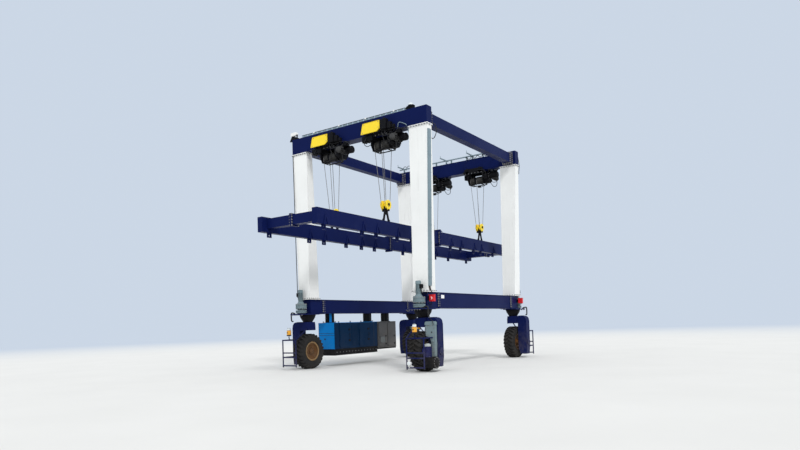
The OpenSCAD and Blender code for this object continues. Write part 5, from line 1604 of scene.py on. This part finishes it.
class CARRIER_OT_girders(bpy.types.Operator):
    """Adds what runs along the girders and legs: clips, cables, the festoon's arms and loops, conduits"""
    bl_idname = "carrier.girders"
    bl_label = "Girder fittings"

    # From the girder's middle to the festoon rail's
    rail_y = -0.200

    def execute(self, context):
        self.tray()
        self.rail()
        self.cables()
        self.conduits()
        return {"FINISHED"}

    def tray(self):
        """Clips over the cables in the front girder's tray, with a small plate beside every fifth."""
        y = PORTAL_Y - GIRDER_Y
        clips, white, cables = Shape(), Shape(), Shape()
        start, end, count = -2.55, 2.20, 20
        for i in range(count):
            x = start + (end - start) * i / (count - 1)
            clips.block((x - 0.02, y - 0.166, GIRDER_TOP + 0.058), (x + 0.02, y - 0.030, GIRDER_TOP + 0.066))
            clips.block((x - 0.02, y - 0.166, GIRDER_TOP), (x + 0.02, y - 0.160, GIRDER_TOP + 0.066))
            if i % 5 == 2:
                white.block((x + 0.05, y - 0.172, GIRDER_TOP + 0.050),
                            (x + 0.11, y - 0.130, GIRDER_TOP + 0.100))
        for offset, radius in ((-0.145, 0.014), (-0.112, 0.011), (-0.082, 0.016), (-0.052, 0.010)):
            cables.pipe([(start - 0.05, y + offset, GIRDER_TOP + 0.062 + radius),
                         (end + 0.05, y + offset, GIRDER_TOP + 0.062 + radius)], radius, 8)
        clips.done("tray_clips", "tray_zinc", "frame", "duct_grey", 0.001)
        white.done("tray_plates", "white_paint", "frame", "white_paint", 0.003)
        cables.done("tray_cables", "cable_black", "frame", "cable_black", angle=60)

    def rail(self):
        """Cross arms that carry the festoon rail, and its run on the left."""
        y = PORTAL_Y + GIRDER_Y
        shape = Shape()
        channel = ((-0.02, 0.11), (0.02, 0.11), (0.02, 0.16), (0.006, 0.16), (0.006, 0.118), (-0.006, 0.118),
                   (-0.006, 0.16), (-0.02, 0.16))
        shape.prism([(y + self.rail_y + out, GIRDER_TOP + up) for out, up in channel], "x",
                    GIRDER_LOW.x + 0.20, -0.945)
        for x in (-2.75, -1.70, -0.37, 1.00, 2.37):
            shape.block((x - 0.022, y - 0.62, GIRDER_TOP + 0.162), (x + 0.022, y + 0.10, GIRDER_TOP + 0.205))
            shape.block((x - 0.022, y - 0.10, GIRDER_TOP), (x + 0.022, y - 0.05, GIRDER_TOP + 0.165))
            shape.prism([(y - 0.05, GIRDER_TOP), (y + 0.09, GIRDER_TOP), (y + 0.09, GIRDER_TOP + 0.012),
                         (y - 0.05, GIRDER_TOP + 0.14)], "x", x - 0.005, x + 0.005)
            shape.pipe([(x, y - 0.60, GIRDER_TOP + 0.20), (x, y - 0.62, GIRDER_TOP + 0.30)], 0.010, 8)
        shape.done("festoon_arms", "duct_grey", "frame", "duct_grey", 0.002)

    def cables(self):
        """Loops of cable on trolleys, packed together, and two short ones at the left."""
        low, high = box_of("festoon_cable")
        y, z = (low.y + high.y) / 2, low.z + 0.115
        loops, trolleys = Shape(), Shape()
        places = [low.x + 0.11 + i * (high.x - low.x - 0.22) / 4 for i in range(5)]
        half_turn = [math.pi * k / 12 for k in range(13)]
        for x in places:
            bend = [(x + 0.098 * math.cos(a), y, z - 0.012 - 0.092 * math.sin(a)) for a in half_turn]
            loops.pipe([(x + 0.098, y, z + 0.02), *bend, (x - 0.098, y, z + 0.02)], 0.013, 10)
        for x in [places[0] - 0.135] + [x + 0.14 for x in places]:
            trolleys.block((x - 0.045, y - 0.022, z - 0.03), (x + 0.045, y + 0.022, z - 0.005))
            for way in (-0.03, 0.03):
                trolleys.lathe([(0.014, 0), (0.014, 0.010)], (x + way, y - 0.028, z - 0.018), (0, -1, 0), 14)
        for x in (-2.62, -2.40):
            bend = [(x + 0.090 * math.cos(a), y, z + 0.06 + 0.090 * math.sin(a)) for a in half_turn]
            loops.pipe(bend, 0.012, 10)
        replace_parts(loops.done("festoon_loops", "cable_black", "frame", "cable_black", angle=60),
                    "festoon_cable")
        trolleys.done("festoon_trolleys", "black_paint", "frame", "black_paint", 0.001)

    def conduits(self):
        """Conduits and leads on the legs, the duct's straps and its lead to the beam, and a blank plate."""
        grey, dark = Shape(), Shape()
        front = PORTAL_Y - GIRDER_Y
        grey.pipe(smooth_path([(1.93, front - 0.165, 8.46), (1.99, front - 0.175, 8.62),
                               (2.14, front - 0.180, 8.58), (2.30, front - 0.178, 8.48),
                               (2.365, front - 0.150, 8.30), (2.382, front - 0.10, 8.00),
                               (2.382, front - 0.05, 7.2)], 6), 0.014, 10)
        dark.pipe(smooth_path([(3.05, front + 0.22, 8.50), (3.17, front + 0.30, 8.42),
                               (3.21, front + 0.32, 8.22), (3.16, front + 0.30, 8.02),
                               (3.10, front + 0.24, 7.93), (3.06, front + 0.18, 8.00),
                               (3.055, front + 0.156, 8.12)], 6), 0.013, 10)
        rear = PORTAL_Y + GIRDER_Y
        dark.pipe(smooth_path([(3.05, rear + 0.17, 8.92), (3.10, rear + 0.19, 8.82),
                               (3.14, rear + 0.17, 8.60), (3.165, rear + 0.165, 8.38),
                               (3.145, rear + 0.16, 8.18), (3.13, rear + 0.156, 8.02)], 6), 0.012, 10)
        lead = []
        for z in (8.40, 7.0, 5.6, 4.2, 2.75):
            wide, half = leg_section(z)
            lead.append((-(LEG_INNER + wide - 0.010), front - half - 0.014, z))
        dark.pipe(smooth_path(lead, 4), 0.014, 8)
        # From the foot of the duct down to the beam
        x = LEG_INNER + leg_section(LEG_LOW.z + 0.2)[0]
        dark.pipe(smooth_path([(x + 0.030, front - 0.095, 2.90), (x + 0.026, front - 0.060, 2.80),
                               (x + 0.018, front, 2.72), (x + 0.012, front + 0.050, 2.66)], 5), 0.026, 10)
        straps, count = Shape(), 9
        y0, y1 = front - 0.1275, front + 0.0225
        for i in range(count):
            z = LEG_LOW.z + 0.2 + (i + 0.5) / count * (LEG_HIGH.z - 0.22 - LEG_LOW.z - 0.2)
            x = LEG_INNER + leg_section(z)[0] + 0.060
            straps.block((x - 0.012, y0 - 0.004, z - 0.018), (x + 0.006, y1 + 0.004, z + 0.018))
        straps.done("duct_straps", "duct_grey", "frame", "duct_grey", 0.002)
        grey.done("leg_conduit", "duct_grey", "frame", "duct_grey", angle=60)
        dark.done("leg_leads", "cable_black", "frame", "cable_black", angle=60)
        plate = Shape()
        web = BEAM_X + 0.215
        plate.block((web, PORTAL_Y - 2.81, 2.465), (web + 0.004, PORTAL_Y - 2.60, 2.585))
        plate.done("blank_plate", "white_paint", "frame", "white_paint", 0.001)


class CARRIER_OT_spreader(bpy.types.Operator):
    """Adds the spreader's end plates, edge beads and the plates of its joints"""
    bl_idname = "carrier.spreader"
    bl_label = "Spreader fittings"

    def execute(self, context):
        half = SPREADER_HIGH.y
        ends = Shape()
        for side, end in PAIRS:
            x, y = side * SPREADER_X, end * half
            ends.block((x - 0.104, y, 4.765), (x + 0.104, y + end * 0.008, 5.265))
        for z in (4.770, 5.255):
            for side, face in PAIRS:
                x = side * SPREADER_X + face * 0.100
                ends.prism([(x, z), (x + face * 0.007, z), (x, z + 0.008)], "y", -half + 0.02, half - 0.02)
        ends.done("spreader_ends", "navy_paint", "spreader", "navy_paint", 0.002)
        self.joints()
        return {"FINISHED"}

    def joints(self):
        """Stout plates and gussets at the long beams' middle joints."""
        shape = Shape()
        for side, face in PAIRS:
            x, y = side * SPREADER_X, face * 0.038
            shape.block((x - 0.165, face * 0.002, 4.690), (x + 0.165, y, 5.350))
            for edge in (-0.150, 0.138):
                shape.prism([(y, 5.340), (y, 5.268), (face * 0.200, 5.268)], "x", x + edge, x + edge + 0.012)
            for out in (-1, 1):
                for z in (4.80, 4.97, 5.14):
                    shape.prism([(x + out * 0.098, y), (x + out * 0.160, y), (x + out * 0.098, face * 0.190)],
                                "z", z, z + 0.012)
        shape.done("spreader_joints", "navy_paint", "spreader", "navy_paint", 0.002)


class CARRIER_OT_stage(bpy.types.Operator):
    """Sets the camera, the light and the floor"""
    bl_idname = "carrier.stage"
    bl_label = "Camera and stage"

    # Solved from the photograph's corners, from the ground under the machine's middle
    eye = (13.781, -21.132, 1.623)
    forward = (-0.56524, 0.82403, 0.03834)
    up = (0.04819, -0.01341, 0.99875)
    sun_from = (0.70, -0.55, 0.85)
    backdrop = (0.60, 0.68, 0.79)

    def execute(self, context):
        settings = context.scene.carrier_stage
        context.scene.view_settings.view_transform = "Standard"
        self.camera(settings)
        self.lights(settings)
        self.floor(settings)
        return {"FINISHED"}

    def camera(self, settings):
        data = bpy.data.cameras.new("camera")
        data.sensor_width = 36
        data.lens = settings.lens
        data.shift_y = settings.shift
        data.clip_end = 500
        back = -Vector(self.forward).normalized()
        up = Vector(self.up)
        up = (up - back * up.dot(back)).normalized()
        right = up.cross(back)
        turn = Matrix((right, up, back)).transposed().to_4x4()
        camera = linked("camera", data)
        camera.matrix_world = Matrix.Translation(self.eye) @ turn
        bpy.context.scene.camera = camera

    def lights(self, settings):
        sun = bpy.data.lights.new("key", "SUN")
        sun.energy = settings.sun
        sun.angle = math.radians(14)
        linked("key", sun).rotation_euler = Vector(self.sun_from).to_track_quat("Z", "Y").to_euler()
        world = bpy.context.scene.world or bpy.data.worlds.new("sky")
        bpy.context.scene.world = world
        world.use_nodes = True
        tree = world.node_tree
        tree.nodes.clear()
        seen = seen_rays(tree)
        light = put(tree, "ShaderNodeBackground", {"Color": (0.95, 0.98, 1.0, 1), "Strength": settings.sky})
        shown = put(tree, "ShaderNodeBackground", {"Color": (*self.backdrop, 1), "Strength": 1.0})
        mix = put(tree, "ShaderNodeMixShader", {0: seen, 1: light.outputs[0], 2: shown.outputs[0]})
        out = tree.nodes.new("ShaderNodeOutputWorld")
        tree.links.new(mix.outputs[0], out.inputs["Surface"])

    def floor(self, settings):
        half = settings.floor
        data = bpy.data.meshes.new("floor")
        data.from_pydata([(-half, -half, 0), (half, -half, 0), (half, half, 0), (-half, half, 0)], [],
                         [(0, 1, 2, 3)])
        floor = linked("floor", data)
        tree, shader = new_material("floor")
        place = put(tree, "ShaderNodeTexCoord").outputs["Object"]
        tone = mixed(tree, noise(tree, place, 0.35, 6.0), (0.70, 0.695, 0.68), (0.77, 0.765, 0.75))
        tree.links.new(tone, shader.inputs["Base Color"])
        shader.inputs["Roughness"].default_value = 0.9
        shader.inputs["Specular IOR Level"].default_value = 0.1
        far = put(tree, "ShaderNodeVectorMath", {0: place}, operation="LENGTH").outputs["Value"]
        fade = ramp(tree, far, 22.0, 75.0)
        seen = seen_rays(tree)
        glow = put(tree, "ShaderNodeEmission", {"Color": (*self.backdrop, 1)})
        mix = put(tree, "ShaderNodeMixShader", {0: math_node(tree, "MULTIPLY", fade, seen),
                                                1: shader.outputs[0], 2: glow.outputs[0]})
        tree.links.new(mix.outputs[0], tree.nodes["Material Output"].inputs["Surface"])
        data.materials.append(MATERIALS["floor"])


OPERATORS = (CARRIER_OT_stage, CARRIER_OT_finishes, CARRIER_OT_tyres, CARRIER_OT_rims, CARRIER_OT_bogies,
             CARRIER_OT_drives, CARRIER_OT_guards, CARRIER_OT_steering, CARRIER_OT_stops, CARRIER_OT_bolts,
             CARRIER_OT_hoists, CARRIER_OT_ropes, CARRIER_OT_lamps, CARRIER_OT_girders,
             CARRIER_OT_spreader, CARRIER_OT_pack)


class CARRIER_PT_panel(bpy.types.Panel):
    """Lists the carrier's settings and steps"""
    bl_idname = "CARRIER_PT_panel"
    bl_label = "Straddle carrier"
    bl_space_type = "VIEW_3D"
    bl_region_type = "UI"
    bl_category = "Carrier"

    def draw(self, context):
        for group in (context.scene.carrier_paint, context.scene.carrier_stage, context.scene.carrier_tyres):
            for key in group.__annotations__:
                self.layout.prop(group, key)
        for operator in OPERATORS:
            self.layout.operator(operator.bl_idname)


CLASSES = (CarrierPaint, CarrierStage, CarrierTyres, *OPERATORS, CARRIER_PT_panel)


def register():
    for item in CLASSES:
        bpy.utils.register_class(item)
    bpy.types.Scene.carrier_paint = bpy.props.PointerProperty(type=CarrierPaint)
    bpy.types.Scene.carrier_stage = bpy.props.PointerProperty(type=CarrierStage)
    bpy.types.Scene.carrier_tyres = bpy.props.PointerProperty(type=CarrierTyres)


def unregister():
    del bpy.types.Scene.carrier_tyres
    del bpy.types.Scene.carrier_stage
    del bpy.types.Scene.carrier_paint
    for item in reversed(CLASSES):
        bpy.utils.unregister_class(item)


def main():
    register()
    for operator in OPERATORS:
        group, name = operator.bl_idname.split(".")
        getattr(getattr(bpy.ops, group), name)()


if __name__ == "__main__":
    main()
